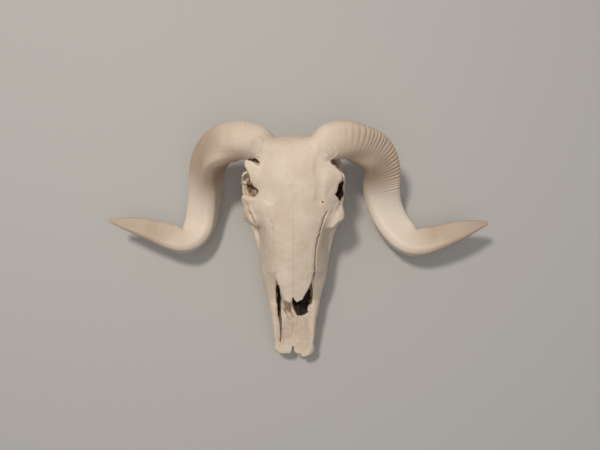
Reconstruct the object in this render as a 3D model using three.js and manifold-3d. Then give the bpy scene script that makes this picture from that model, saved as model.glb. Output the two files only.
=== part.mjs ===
// A ram's skull with both horns, without its lower jaw, lying as it rests: on the cheek teeth
// in front and the two paracondylar processes behind. Millimetres, +Z up, nose along -Y.
// Left and right are the animal's own, so left is +X. The skull is first modelled whole, and
// thin cuts along the sutures then part it into its bones. While it is modelled, X is 0 on the
// skull's middle plane and Z is 0 on the ground; the last lines move it so that the origin is
// the middle of the underside of the whole part.
import * as THREE from "three";
import { mergeVertices } from "three/addons/utils/BufferGeometryUtils.js";
import Module from "manifold-3d";

const wasm = await Module();
wasm.setup();

// ---- Driving dimensions -------------------------------------------------------------------

const PROSTHION_Y = -170; // front tip of the premaxillae
const NASAL_TIP_Y = -96;
const NASAL_NOTCH_Y = -62; // where the nasal, the maxilla and the premaxilla meet
const NASAL_ROOT_Y = 24; // the nasals end in a point between the frontals
const TOOTH_ROW = [-80, -6]; // first premolar's front, last molar's back
const ORBIT = { x: 52, y: 36, z: 80, across: 21, rim: 3.6, depth: 30 };
const ORBIT_AXIS = new THREE.Vector3(0.89, -0.13, 0.43).normalize();
const SUTURE = 0.3; // gap between neighbouring bones
const NASAL_THICK = 4.5;
const BONE_WALL = 4.5; // side wall of the nasal cavity
const BLOCK_SIDES = 16; // points round a section of the head
const HORN_SIDES = 10;
const HORN_RINGS = 34;

// ---- Making and joining solids ------------------------------------------------------------

// A smooth line through [position, value] knots, level beyond its ends.
function line(knots) {
  const last = knots.length - 1;
  const slope = (i) => {
    const before = knots[Math.max(i - 1, 0)];
    const after = knots[Math.min(i + 1, last)];
    return (after[1] - before[1]) / (after[0] - before[0]);
  };
  return (at) => {
    if (at <= knots[0][0]) return knots[0][1];
    if (at >= knots[last][0]) return knots[last][1];
    const i = knots.findIndex(([position]) => at < position);
    const [start, end] = [knots[i - 1], knots[i]];
    const width = end[0] - start[0];
    const t = (at - start[0]) / width;
    return (
      start[1] * (1 + 2 * t) * (1 - t) ** 2 +
      slope(i - 1) * width * t * (1 - t) ** 2 +
      end[1] * t * t * (3 - 2 * t) +
      slope(i) * width * t * t * (t - 1)
    );
  };
}

// A closed geometry over rings of points, with a fan of faces at each end.
function loft(rings) {
  const sides = rings[0].length;
  const points = rings.flat();
  const index = [];
  for (let r = 0; r < rings.length - 1; r++) {
    for (let s = 0; s < sides; s++) {
      const a = r * sides + s;
      const b = r * sides + ((s + 1) % sides);
      index.push(a, b, a + sides, b, b + sides, a + sides);
    }
  }
  const cap = (ring, first, turned) => {
    const centre = ring.reduce((sum, p) => sum.add(p), new THREE.Vector3());
    points.push(centre.divideScalar(sides));
    for (let s = 0; s < sides; s++) {
      const pair = [first + s, first + ((s + 1) % sides)];
      if (turned) pair.reverse();
      index.push(points.length - 1, ...pair);
    }
  };
  cap(rings[0], 0, true);
  cap(rings.at(-1), (rings.length - 1) * sides, false);
  return new THREE.BufferGeometry().setFromPoints(points).setIndex(index);
}

// A closed geometry as a solid, with its faces turned to point out.
function solid(geometry) {
  const bare = geometry.clone();
  bare.deleteAttribute("normal");
  bare.deleteAttribute("uv");
  const merged = mergeVertices(bare, 1e-3);
  const triVerts = new Uint32Array(merged.index.array);
  const at = merged.attributes.position;
  const corner = (i) => new THREE.Vector3().fromBufferAttribute(at, triVerts[i]);
  let volume = 0;
  for (let i = 0; i < triVerts.length; i += 3) {
    volume += corner(i).dot(corner(i + 1).cross(corner(i + 2)));
  }
  if (volume < 0) triVerts.reverse();
  return new wasm.Manifold(
    new wasm.Mesh({ numProp: 3, vertProperties: at.array, triVerts }),
  );
}

const joined = (solids) => solids.reduce((all, next) => all.add(next));

// A ball stretched to three radii, whose third axis points along the given direction.
function ellipsoid([x, y, z], radii, axis = new THREE.Vector3(0, 0, 1), detail = 8) {
  const ball = new THREE.SphereGeometry(1, detail, Math.ceil(detail * 0.6));
  ball.rotateX(Math.PI / 2);
  ball.scale(...radii);
  const up = new THREE.Vector3(0, 0, 1);
  ball.applyQuaternion(new THREE.Quaternion().setFromUnitVectors(up, axis));
  return solid(ball.translate(x, y, z));
}

// A bar along a smooth path of [x, y, z, half height, half width] knots. Its height stands
// in the plane of the path and the up direction.
function bar(knots, { up = new THREE.Vector3(0, 0, 1), sides = 6, steps = 4 } = {}) {
  const path = new THREE.CatmullRomCurve3(knots.map((k) => new THREE.Vector3(...k)));
  const along = (i) => i / (knots.length - 1);
  const height = line(knots.map((k, i) => [along(i), k[3]]));
  const width = line(knots.map((k, i) => [along(i), k[4]]));
  const rings = [];
  for (let i = 0; i <= steps; i++) {
    const t = i / steps;
    const centre = path.getPoint(t);
    const across = path.getTangent(t).cross(up).normalize();
    const rise = across.clone().cross(path.getTangent(t)).normalize();
    const ring = [];
    for (let s = 0; s < sides; s++) {
      const turn = (s / sides) * 2 * Math.PI;
      ring.push(
        centre
          .clone()
          .addScaledVector(across, Math.cos(turn) * width(t))
          .addScaledVector(rise, Math.sin(turn) * height(t)),
      );
    }
    rings.push(ring);
  }
  return solid(loft(rings));
}

// A block whose sections across Y run smoothly through the same named points of a half
// section, from the top middle round to the bottom middle.
function block(halfSection, from, to, steps, sides = BLOCK_SIDES) {
  const rings = [];
  for (let i = 0; i <= steps; i++) {
    const y = from + ((to - from) * i) / steps;
    const left = halfSection(y).map(([x, z]) => new THREE.Vector3(x, y, z));
    const right = left.slice(1, -1).reverse();
    right.forEach((p, k) => (right[k] = new THREE.Vector3(-p.x, y, p.z)));
    const outline = new THREE.CatmullRomCurve3([...left, ...right], true, "centripetal");
    rings.push(
      Array.from({ length: sides }, (_, s) => outline.getPoint(s / sides)),
    );
  }
  return solid(loft(rings));
}

// Both sides of a feature: make(side) is given 1 for the left one and -1 for the right one.
const pair = (make) => make(1).add(make(-1));

// An outline extruded: a "top" one is [x, y] points and runs from low to high in Z, a
// "side" one is [y, z] points and runs from low to high in X.
function prism(view, outline, low, high) {
  const shape = new THREE.Shape(outline.map(([u, v]) => new THREE.Vector2(u, v)));
  const geometry = new THREE.ExtrudeGeometry(shape, {
    depth: high - low,
    bevelEnabled: false,
  });
  geometry.translate(0, 0, low);
  if (view === "side") {
    const [x, y, z] = [0, 1, 2].map((i) => new THREE.Vector3().setComponent(i, 1));
    geometry.applyMatrix4(new THREE.Matrix4().makeBasis(y, z, x));
  }
  return solid(geometry);
}

// An outline with each corner moved out by a distance.
function grown(outline, by) {
  const area = outline.reduce((sum, [u, v], i) => {
    const [nextU, nextV] = outline[(i + 1) % outline.length];
    return sum + u * nextV - nextU * v;
  }, 0);
  const out = Math.sign(area) * by;
  return outline.map((point, i) => {
    const corner = new THREE.Vector2(...point);
    const before = new THREE.Vector2(...outline.at(i - 1));
    const after = new THREE.Vector2(...outline[(i + 1) % outline.length]);
    const first = corner.clone().sub(before).normalize();
    const second = after.sub(corner).normalize();
    const along = first.add(second).normalize();
    return [point[0] + along.y * out, point[1] - along.x * out];
  });
}

// ---- The head, from the nose to behind the orbits -------------------------------------------

const roof = line([
  [NASAL_TIP_Y, 66],
  [NASAL_NOTCH_Y, 83],
  [-20, 98],
  [20, 108],
  [60, 116],
  [80, 116],
  [93, 110],
  [101, 98],
  [105, 76],
]);
// The side walls stand lower than the roof in front, where the nasal opening is.
const openingRim = line([
  [-118, 41],
  [-100, 48],
  [-80, 59],
  [-66, 73],
  [-56, 90],
]);
const wallTop = (y) => (y < -56 ? Math.min(roof(y), openingRim(y)) : roof(y));
const shoulderX = line([
  [-118, 26],
  [-80, 26],
  [NASAL_NOTCH_Y, 24],
  [-20, 27],
  [0, 34],
  [20, 43],
  [38, 42],
  [56, 51],
  [64, 48],
]);
const shoulderDrop = line([
  [-118, 5],
  [-62, 7],
  [0, 9],
  [38, 12],
  [64, 14],
]);
const cheekX = line([
  [-118, 29],
  [-100, 31],
  [-80, 37],
  [-62, 41],
  [-20, 43],
  [-10, 44],
  [-2, 47],
  [4, 58],
  [20, 60],
  [40, 62],
  [64, 60],
]);
const cheekZ = line([
  [-118, 34],
  [-80, 41],
  [-40, 46],
  [-10, 53],
  [4, 61],
  [64, 62],
]);
const alveolusX = line([
  [-118, 26],
  [-80, 33],
  [-50, 38],
  [-8, 39],
  [20, 44],
  [64, 50],
]);
const alveolusZ = line([
  [-118, 25],
  [-80, 21],
  [-20, 22],
  [-4, 30],
  [12, 44],
  [64, 54],
]);
const palateZ = line([
  [-118, 28],
  [-60, 31],
  [-10, 34],
  [20, 42],
  [64, 50],
]);

const headSection = (y) => [
  [0, wallTop(y)],
  [shoulderX(y), wallTop(y) - shoulderDrop(y)],
  [cheekX(y), cheekZ(y)],
  [alveolusX(y), alveolusZ(y)],
  [0, palateZ(y)],
];

// ---- The brain case, with the horn bases above and the nape behind ---------------------------

const craniumX = line([
  [42, 28],
  [60, 45],
  [84, 46],
  [95, 40],
  [105, 29],
]);
const templeX = line([
  [40, 30],
  [70, 34],
  [96, 33],
  [105, 24],
]);
const craniumSection = (y) => [
  [0, roof(y)],
  [craniumX(y) * 0.65, roof(y) - 4],
  [craniumX(y), roof(y) * 0.68 + 18],
  [templeX(y), roof(y) * 0.35 + 22],
  [templeX(y) * 0.7, 38],
  [0, 32],
];
// Bone stands out on each side to carry the horn.
const pedicels = pair((side) =>
  bar([
    [side * 16, 78, 98, 15, 14],
    [side * 30, 87, 98, 17, 14],
    [side * 43, 94, 101, 19, 18],
  ]),
);

const condyles = pair((side) => ellipsoid([side * 14, 102, 27], [10, 12, 13]));
const paracondylars = pair((side) =>
  bar(
    [
      [side * 30, 94, 46, 8, 5],
      [side * 28, 96, 26, 7, 4],
      [side * 25, 98, 8, 5, 3],
      [side * 24, 98.5, -3, 3.5, 2.5],
    ],
    { up: new THREE.Vector3(0, 1, 0) },
  ),
);
const bullae = pair((side) => ellipsoid([side * 23, 80, 32], [9, 14, 11]));
const earTubes = pair((side) =>
  bar([
    [side * 26, 84, 46, 7, 7],
    [side * 40, 87, 52, 5.5, 5.5],
  ]),
);
const skullBase = bar([
  [0, 20, 40, 7, 7],
  [0, 60, 34, 7, 8],
  [0, 98, 30, 8, 12],
]);
const napeCrest = bar([
  [-36, 92, 56, 4, 4],
  [-25, 99, 78, 4, 4],
  [0, 101, 86, 4, 5],
  [25, 99, 78, 4, 4],
  [36, 92, 56, 4, 4],
]);
const pterygoids = pair((side) =>
  bar(
    [
      [side * 15, -4, 34, 9, 2.4],
      [side * 14, 14, 33, 12, 2],
      [side * 14, 32, 36, 11, 2],
      [side * 15, 42, 40, 7, 2],
    ],
  ),
);
const arches = pair((side) =>
  bar([
    [side * 59, 52, 60, 8, 4.5],
    [side * 62, 66, 60, 7, 3.5],
    [side * 57, 80, 61, 6, 4],
    [side * 44, 91, 58, 6, 6],
    [side * 32, 93, 54, 8, 8],
  ]),
);

// ---- Orbits -------------------------------------------------------------------------------

const orbitAxis = (side) => ORBIT_AXIS.clone().setX(ORBIT_AXIS.x * side);
const orbitRims = pair((side) => {
  const ring = new THREE.TorusGeometry(ORBIT.across, ORBIT.rim, 4, 14);
  const facing = new THREE.Vector3(0, 0, 1);
  ring.applyQuaternion(
    new THREE.Quaternion().setFromUnitVectors(facing, orbitAxis(side)),
  );
  return solid(ring.translate(side * ORBIT.x, ORBIT.y, ORBIT.z));
});
const orbitHollows = pair((side) => {
  const centre = new THREE.Vector3(side * ORBIT.x, ORBIT.y, ORBIT.z);
  centre.addScaledVector(orbitAxis(side), -8);
  const opening = ORBIT.across - ORBIT.rim + 2.2;
  return ellipsoid(
    centre.toArray(),
    [opening, opening, ORBIT.depth],
    orbitAxis(side),
    12,
  );
});

// The frontal and the zygomatic meet behind the eye, and the lacrimal stands out before it.
const postorbitals = pair((side) =>
  bar([
    [side * 40, 60, 104, 6, 6],
    [side * 51, 56, 98, 4, 5],
    [side * 57.5, 55, 80, 4, 3.5],
    [side * 58, 54, 60, 4, 4],
  ]),
);
const preorbitals = pair((side) =>
  bar([
    [side * 38, 17, 96, 6, 6],
    [side * 49, 17, 88, 4, 5],
    [side * 55.5, 13, 74, 4, 4],
    [side * 56, 5, 60, 3, 4],
  ]),
);

// ---- Snout: premaxillae, teeth, and what lies in the nose --------------------------------------

const snoutX = line([
  [PROSTHION_Y, 20],
  [-166, 24],
  [-150, 25.5],
  [-130, 27.5],
  [-104, 30],
]);
const snoutTop = line([
  [PROSTHION_Y, 30],
  [-150, 36],
  [-104, 47],
]);
const snoutSection = (y) => [
  [0, snoutTop(y) - 3],
  [snoutX(y) - 5, snoutTop(y)],
  [snoutX(y), snoutTop(y) - 6],
  [snoutX(y) - 3, 23],
  [0, 25],
];

// Six cheek teeth a side, each [length, width], from the first premolar back.
const CHEEK_TEETH = [
  [8, 8],
  [10, 10],
  [10.5, 12],
  [13, 14],
  [15.5, 15],
  [17, 14],
];
const toothX = line([
  [TOOTH_ROW[0], 28],
  [-45, 33],
  [TOOTH_ROW[1], 34],
]);
const TOOTH_SHAPE = 6; // corners of a crown
function toothRow(side) {
  let y = TOOTH_ROW[0];
  return joined(
    CHEEK_TEETH.map(([length, width]) => {
      const middle = y + length / 2;
      y += length;
      const crown = (z, share) =>
        Array.from({ length: TOOTH_SHAPE }, (_, i) => {
          const turn = ((i + 0.5) / TOOTH_SHAPE) * 2 * Math.PI;
          return new THREE.Vector3(
            side * toothX(middle) + Math.cos(turn) * (width / 2) * share,
            middle + Math.sin(turn) * ((length + 1) / 2) * share,
            z,
          );
        });
      return solid(loft([crown(0, 0.9), crown(5, 1.06), crown(30, 1)]));
    }),
  );
}

const cavityX = (y) => Math.min(cheekX(y), shoulderX(y)) - BONE_WALL;
const cavityFloor = line([
  [-114, 31],
  [-62, 36],
  [-20, 50],
]);
const noseSection = (y) => {
  const top = y < NASAL_NOTCH_Y ? 110 : roof(y) - NASAL_THICK;
  const half = y < -40 ? cavityX(y) : cavityX(-40) - (y + 40) * 0.3;
  return [
    [0, top],
    [half * 0.9, top - (y < NASAL_NOTCH_Y ? 0 : 9)],
    [half, (cavityFloor(y) + top) / 2 - 4],
    [half * 0.8, cavityFloor(y) + 1],
    [0, cavityFloor(y)],
  ];
};
const snoutTroughX = line([
  [-162, 9],
  [-140, 15],
  [-108, 21],
]);
const troughSection = (y) => [
  [0, 60],
  [snoutTroughX(y), 60],
  [snoutTroughX(y), 44],
  [snoutTroughX(y) - 2, snoutTop(y) - 5],
  [0, snoutTop(y) - 6.5],
];
const conchae = pair((side) =>
  bar([
    [side * 15, -104, 44, 3, 4],
    [side * 15, -80, 48, 9, 6],
    [side * 15, -40, 56, 11, 7],
  ]),
);

// The slits between the premaxilla's bar and its palate plate, and the notch at the tip.
const palateSlits = pair((side) =>
  bar([
    [side * 13, -146, 30, 12, 0.8],
    [side * 14.5, -128, 30, 14, 2.2],
    [side * 14, -110, 30, 14, 2.6],
  ]),
);
const tipNotch = prism(
  "top",
  [
    [-3, -180],
    [3, -180],
    [1.2, -158],
    [-1.2, -158],
  ],
  0,
  60,
);

// ---- Hollows that open the head from the sides, below and behind ------------------------------

const templeHollows = pair((side) => ellipsoid([side * 49, 68, 74], [9.5, 16, 24]));
const underOrbit = pair((side) => ellipsoid([side * 38, 34, 44], [19, 27, 17]));
const throat = ellipsoid([0, 22, 30], [12.5, 26, 14]);
const nerveOpening = ellipsoid([0, 112, 36], [9, 20, 9]);
const earOpenings = pair((side) => ellipsoid([side * 44, 88, 53], [8, 3, 3]));
const cheekHoles = pair((side) => ellipsoid([side * 38, -64, 42], [6, 4, 2.6]));
const ground = prism(
  "top",
  [
    [-300, -300],
    [300, -300],
    [300, 300],
    [-300, 300],
  ],
  -60,
  0,
);

// ---- Horns --------------------------------------------------------------------------------

// Knots along a horn, [x, y, z, radius]: out of the skull, back over the top of the curl,
// down beside the cheek, forward, and out to the tip. The two horns differ a little.
const HORN_PATHS = {
  left: [
    [34, 91, 97, 18],
    [45, 96.5, 103, 22],
    [63, 98.5, 105, 23],
    [93, 88, 84, 21.5],
    [106, 69, 60, 21],
    [108.5, 48, 40, 21],
    [114, 22, 25, 20.5],
    [128, -6, 23, 20.5],
    [153, -26, 34, 18.5],
    [184, -18, 45, 14.5],
    [212, -7, 53, 10.8],
    [239, 2, 58, 2.5],
  ],
  right: [
    [-36, 90, 97, 18],
    [-48, 96, 103, 21.5],
    [-65, 97.5, 105, 23.5],
    [-93, 86, 84, 21.5],
    [-105.5, 69, 60, 20.5],
    [-110, 48, 40, 20],
    [-115, 20, 25, 19.5],
    [-121, -5, 23, 19],
    [-139, -23, 36, 17.5],
    [-166, -14, 47, 14],
    [-193, -4, 54, 10.8],
    [-228, 5, 58, 2.5],
  ],
};
const GROWTH_RING = 0.022; // how far a growth ring stands out, as a share of the radius
const SMOOTH_FROM = 0.62; // growth rings fade out by this share of the length
const KEEL = 0.09; // how far the section is from round towards a triangle

function horn(side, grow = 0) {
  const knots = HORN_PATHS[side > 0 ? "left" : "right"];
  const path = new THREE.CatmullRomCurve3(
    knots.map(([x, y, z]) => new THREE.Vector3(x, y, z)),
    false,
    "centripetal",
  );
  const last = knots.length - 1;
  const radius = line(knots.map((k, i) => [i / last, k[3]]));
  const { normals, binormals } = path.computeFrenetFrames(HORN_RINGS, false);
  const rings = [];
  for (let i = 0; i <= HORN_RINGS; i++) {
    const t = i / HORN_RINGS;
    const share = path.getUtoTmapping(t);
    const fade = Math.max(0, 1 - t / SMOOTH_FROM);
    const swell = 1 + (i % 2 ? 1 : -1) * GROWTH_RING * Math.min(1, fade * 3);
    const ring = [];
    for (let s = 0; s < HORN_SIDES; s++) {
      const turn = side * (s / HORN_SIDES) * 2 * Math.PI;
      const reach = radius(share) * swell * (1 + KEEL * Math.cos(3 * turn)) + grow;
      ring.push(
        path
          .getPointAt(t)
          .addScaledVector(normals[i], Math.cos(turn) * reach)
          .addScaledVector(binormals[i], Math.sin(turn) * reach),
      );
    }
    rings.push(ring);
  }
  return solid(loft(rings)).subtract(ground);
}

// ---- The whole skull ----------------------------------------------------------------------

const nasalX = line([
  [NASAL_TIP_Y, 5],
  [-90, 10.5],
  [-76, 17],
  [NASAL_NOTCH_Y, 23.5],
  [-20, 23.5],
  [2, 25],
  [12, 17],
  [NASAL_ROOT_Y, 3],
]);
// A nasal bone is a curved plate that arches up towards the middle of the nose.
function nasal(side, grow = 0) {
  const rings = [];
  const steps = 10;
  for (let i = 0; i <= steps; i++) {
    const share = i / steps;
    const y = NASAL_TIP_Y + (NASAL_ROOT_Y - NASAL_TIP_Y) * share;
    const half = nasalX(y) + grow;
    const arch = (x) => roof(y) - shoulderDrop(y) * (x / shoulderX(y)) ** 2;
    const outer = [];
    const inner = [];
    const points = 4;
    for (let k = 0; k <= points; k++) {
      const x = (half * k) / points;
      outer.push(new THREE.Vector3(side * (x + (k ? 0 : SUTURE / 2 - grow)), y, arch(x)));
      inner.unshift(new THREE.Vector3(outer[k].x, y, arch(x) - NASAL_THICK - grow));
    }
    if (grow) outer.forEach((p) => (p.z += 20));
    rings.push([...outer, ...inner]);
  }
  if (grow) {
    rings[0].forEach((p) => (p.y -= grow));
    rings.at(-1).forEach((p) => (p.y += grow));
  }
  return solid(loft(rings));
}

const whole = joined([
  block(headSection, -114, 64, 14),
  block(craniumSection, 42, 105, 5),
  pedicels,
  block(snoutSection, PROSTHION_Y, -98, 6),
  condyles,
  paracondylars,
  bullae,
  earTubes,
  skullBase,
  napeCrest,
  arches,
  postorbitals,
  preorbitals,
  orbitRims,
])
  .subtract(throat)
  .subtract(block(noseSection, -113, -14, 6, 8))
  .subtract(block(troughSection, -162, -106, 3, 8))
  .add(conchae)
  .add(pterygoids)
  .add(toothRow(1))
  .add(toothRow(-1))
  .subtract(orbitHollows)
  .subtract(templeHollows)
  .subtract(underOrbit)
  .subtract(nerveOpening)
  .subtract(earOpenings)
  .subtract(cheekHoles)
  .subtract(palateSlits)
  .subtract(tipNotch)
  .subtract(ground)
  .subtract(pair((side) => horn(side, SUTURE)))
  .subtract(pair((side) => nasal(side, SUTURE)));

// ---- The bones ----------------------------------------------------------------------------

// Each bone takes what its outline holds of the skull that the bones before it have left.
// Paired outlines are the left bone's; the single bones lie across the middle plane.
const FAR = 90;
const BONES = [
  {
    name: "premaxilla",
    paired: true,
    view: "side",
    span: [SUTURE / 2, FAR],
    outline: [
      [-180, -5],
      [-106, -5],
      [-101, 37],
      [-82, 47],
      [-68, 60],
      [-60, 76],
      [-64, 96],
      [-180, 96],
    ],
  },
  {
    name: "lacrimal",
    paired: true,
    view: "side",
    span: [22, FAR],
    outline: [
      [-10, 70],
      [-4, 99],
      [12, 101],
      [24, 96],
      [24, 70],
      [4, 67],
    ],
  },
  {
    name: "zygomatic",
    paired: true,
    view: "side",
    span: [36, FAR],
    outline: [
      [-16, 46],
      [-14, 62],
      [4, 67],
      [24, 70],
      [46, 74],
      [76, 74],
      [70, 40],
      [0, 40],
    ],
  },
  {
    name: "frontal",
    paired: true,
    view: "side",
    span: [SUTURE / 2, FAR],
    outline: [
      [-30, 140],
      [-2, 92],
      [8, 74],
      [86, 74],
      [92, 90],
      [95, 140],
    ],
  },
  {
    name: "maxilla",
    paired: true,
    view: "side",
    span: [SUTURE / 2, FAR],
    outline: [
      [-130, -5],
      [2, -5],
      [6, 40],
      [8, 74],
      [-2, 92],
      [-30, 140],
      [-130, 140],
    ],
  },
  {
    name: "occipital",
    view: "side",
    span: [-FAR, FAR],
    outline: [
      [58, 10],
      [58, 40],
      [88, 44],
      [96, 62],
      [103, 76],
      [104, 95],
      [140, 95],
      [140, -5],
      [88, -5],
      [88, 12],
    ],
  },
  {
    name: "parietal",
    view: "side",
    span: [-FAR, FAR],
    outline: [
      [60, 66],
      [140, 66],
      [140, 140],
      [60, 140],
    ],
  },
  {
    name: "temporal",
    paired: true,
    view: "side",
    span: [17, FAR],
    outline: [
      [58, 15],
      [140, 15],
      [140, 70],
      [58, 70],
    ],
  },
  {
    name: "sphenoid",
    view: "side",
    span: [-FAR, FAR],
    outline: [
      [-60, -5],
      [140, -5],
      [140, 140],
      [-60, 140],
    ],
  },
];

const COLOURS = {
  bone: { color: 0xd9c5ac, roughness: 0.72 },
  nasal: { color: 0xdecab2, roughness: 0.7 },
  horn: { color: 0xcfb79a, roughness: 0.6 },
};

function mesh(name, made, look) {
  const { numProp, vertProperties, triVerts } = made.getMesh();
  const geometry = new THREE.BufferGeometry();
  const position = new THREE.BufferAttribute(vertProperties, numProp);
  geometry.setAttribute("position", position);
  geometry.setIndex(new THREE.BufferAttribute(triVerts, 1));
  geometry.computeVertexNormals();
  const material = new THREE.MeshStandardMaterial({ ...look, metalness: 0 });
  const part = new THREE.Mesh(geometry, material);
  part.name = name;
  return part;
}

// A cut can leave crumbs beside the bone that it frees: only the bone itself is kept.
const bonely = (made) =>
  made.decompose().sort((a, b) => b.volume() - a.volume())[0];

const skull = new THREE.Group();
let left = whole;
for (const { name, paired, view, span, outline } of BONES) {
  for (const side of paired ? [1, -1] : [1]) {
    const [low, high] = side > 0 ? span : [-span[1], -span[0]];
    const taken = left.intersect(prism(view, outline, low, high));
    const label = paired ? `${name}_${side > 0 ? "left" : "right"}` : name;
    skull.add(mesh(label, bonely(taken), COLOURS.bone));
  }
  const spans = paired ? [span, [-span[1], -span[0]]] : [span];
  for (const [low, high] of spans) {
    const wide = prism(view, grown(outline, SUTURE), low - SUTURE, high + SUTURE);
    left = left.subtract(wide);
  }
}
for (const [word, side] of [
  ["left", 1],
  ["right", -1],
]) {
  skull.add(mesh(`nasal_${word}`, nasal(side), COLOURS.nasal));
  skull.add(mesh(`horn_${word}`, horn(side), COLOURS.horn));
}

const box = new THREE.Box3().setFromObject(skull);
const middle = box.getCenter(new THREE.Vector3());
skull.position.set(-middle.x, -middle.y, -box.min.z);

export default skull;
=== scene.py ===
import bpy
import numpy as np
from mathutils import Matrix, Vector


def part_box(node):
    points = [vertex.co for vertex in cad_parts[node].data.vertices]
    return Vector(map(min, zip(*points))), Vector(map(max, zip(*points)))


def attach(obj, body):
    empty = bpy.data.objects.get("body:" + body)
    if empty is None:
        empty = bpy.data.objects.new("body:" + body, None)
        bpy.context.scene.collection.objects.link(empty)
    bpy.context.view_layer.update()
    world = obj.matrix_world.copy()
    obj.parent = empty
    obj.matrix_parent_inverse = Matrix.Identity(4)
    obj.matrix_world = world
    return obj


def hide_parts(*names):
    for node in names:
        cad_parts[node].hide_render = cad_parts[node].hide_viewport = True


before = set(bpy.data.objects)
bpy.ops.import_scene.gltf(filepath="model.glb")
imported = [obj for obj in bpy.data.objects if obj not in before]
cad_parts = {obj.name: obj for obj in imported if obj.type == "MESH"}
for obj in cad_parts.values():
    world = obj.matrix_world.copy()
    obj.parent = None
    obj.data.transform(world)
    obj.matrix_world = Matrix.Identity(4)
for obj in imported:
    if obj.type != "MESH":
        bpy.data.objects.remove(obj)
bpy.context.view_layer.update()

# ---- Camera ---------------------------------------------------------------------------------
# The camera hangs 0.8 m above the ground and looks straight down. The skull's own frame lies
# in the model's where the gap between the frontals and the tip of the snout say.

MM = 0.001
SUTURE = 0.3
SNOUT_TIP_Y = -170
ORIGIN = (
    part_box("frontal_left")[0][0] - SUTURE / 2 * MM,
    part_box("premaxilla_left")[0][1] - SNOUT_TIP_Y * MM,
    0,
)


def placed(points):
    """Points in the skull's own frame, in millimetres, as metres in the model's frame."""
    return np.asarray(points, dtype=float) * MM + ORIGIN


def new_object(name, data):
    made = bpy.data.objects.new(name, data)
    bpy.context.collection.objects.link(made)
    return made


camera = new_object("camera", bpy.data.cameras.new("camera"))
camera.data.sensor_width = 36
camera.data.lens = 36
camera.location = placed((7.5, -0.6, 800))
bpy.context.scene.camera = camera

# ---- Floor and light --------------------------------------------------------------------------
# A sheet of pale paper, a small softbox high behind the right horn, a broad weak one nearly
# overhead and a dim sky: soft light that still gives the skull a lit and a shaded side.


def linear(code):
    """An sRGB hex colour as linear red, green, blue and alpha."""
    parts = [int(code[i : i + 2], 16) / 255 for i in (1, 3, 5)]
    return [c / 12.92 if c <= 0.04045 else ((c + 0.055) / 1.055) ** 2.4 for c in parts] + [1]


def add(tree, kind, inputs=None, **settings):
    """Adds a node. Each input is given a value, or the node or output socket that it is linked
    to. A node is linked from its first output."""
    made = tree.nodes.new(kind)
    for name, value in settings.items():
        setattr(made, name, value)
    for name, value in (inputs or {}).items():
        if isinstance(value, bpy.types.Node):
            value = value.outputs[0]
        if isinstance(value, bpy.types.NodeSocket):
            tree.links.new(value, made.inputs[name])
        else:
            made.inputs[name].default_value = value
    return made


def new_material(name):
    """A material with an empty node tree, and the tree."""
    made = bpy.data.materials.new(name)
    made.use_nodes = True
    made.node_tree.nodes.clear()
    return made, made.node_tree


def softbox(name, place, size, watts, colour):
    light = new_object(name, bpy.data.lights.new(name, "AREA"))
    light.data.shape = "DISK"
    light.data.size = size
    light.data.energy = watts
    light.data.color = linear(colour)[:3]
    light.location = placed(place)
    aim = Vector(placed((0, 0, 60))) - light.location
    light.rotation_euler = aim.to_track_quat("-Z", "Y").to_euler()


softbox("key", (-460, 660, 1700), 0.25, 18.5, "#FFF9F3")
softbox("fill", (150, -120, 1700), 1.4, 5, "#FFFAF5")

sky = bpy.data.worlds.new("sky")
sky.use_nodes = True
sky_inputs = sky.node_tree.nodes["Background"].inputs
sky_inputs["Color"].default_value = linear("#E8ECF2")
sky_inputs["Strength"].default_value = 0.33
bpy.context.scene.world = sky
bpy.context.scene.view_settings.view_transform = "Standard"

# The paper is grey and matt, with a fine grain.
HALF_FLOOR = 30.0
corners = [(x * HALF_FLOOR, y * HALF_FLOOR, 0) for x, y in ((-1, -1), (1, -1), (1, 1), (-1, 1))]
floor_mesh = bpy.data.meshes.new("floor")
floor_mesh.from_pydata(corners, [], [(0, 1, 2, 3)])
paper, tree = new_material("pale paper")
grain = add(tree, "ShaderNodeTexNoise", {"Scale": 900.0, "Detail": 3.0})
paper_bump = add(tree, "ShaderNodeBump", {"Height": grain, "Strength": 0.1, "Distance": 0.0003})
paper_shader = add(
    tree,
    "ShaderNodeBsdfPrincipled",
    {"Base Color": linear("#B9B6B0"), "Roughness": 0.9, "Normal": paper_bump},
)
add(tree, "ShaderNodeOutputMaterial", {"Surface": paper_shader})
floor_mesh.materials.append(paper)
new_object("floor", floor_mesh)

# ---- Face and brain case ----------------------------------------------------------------------
# The bones of a grown ram's head are knitted into one body, so they are shaped as one: a grid
# of distances to the surface, which shapes are joined to and carved from with soft edges. The
# face runs from the nose to behind the orbits, the brain case from there to the nape.

# The grid's step, and the distance that it holds where there is no bone nearby.
GRAIN = 0.85
EMPTY = 50
HALF_WIDTH = round(76 / GRAIN) * GRAIN
axes = [
    np.arange(low, high, GRAIN, dtype=np.float32)
    for low, high in ((-HALF_WIDTH, HALF_WIDTH + GRAIN / 2), (-174, 120), (-2.5, 128))
]
bone = np.full([len(a) for a in axes], EMPTY, dtype=np.float32)


def near(low, high, side=0, margin=9):
    """The part of the grid round a box, and its coordinates. The box is on the animal's
    left (side 1), on its right (-1) or on both (0), and x is counted outwards from the
    middle plane."""
    low, high = np.array(low, dtype=float) - margin, np.array(high, dtype=float) + margin
    if side == 0:
        low[0] = -high[0]
    if side == -1:
        low[0], high[0] = -high[0], -low[0]
    ends = [np.searchsorted(a, (lo, hi)) for a, lo, hi in zip(axes, low, high)]
    cut = tuple(slice(*e) for e in ends)
    x, y, z = np.meshgrid(*[a[c] for a, c in zip(axes, cut)], indexing="ij", sparse=True)
    return cut, (np.abs(x) if side == 0 else x * side, y, z)


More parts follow.
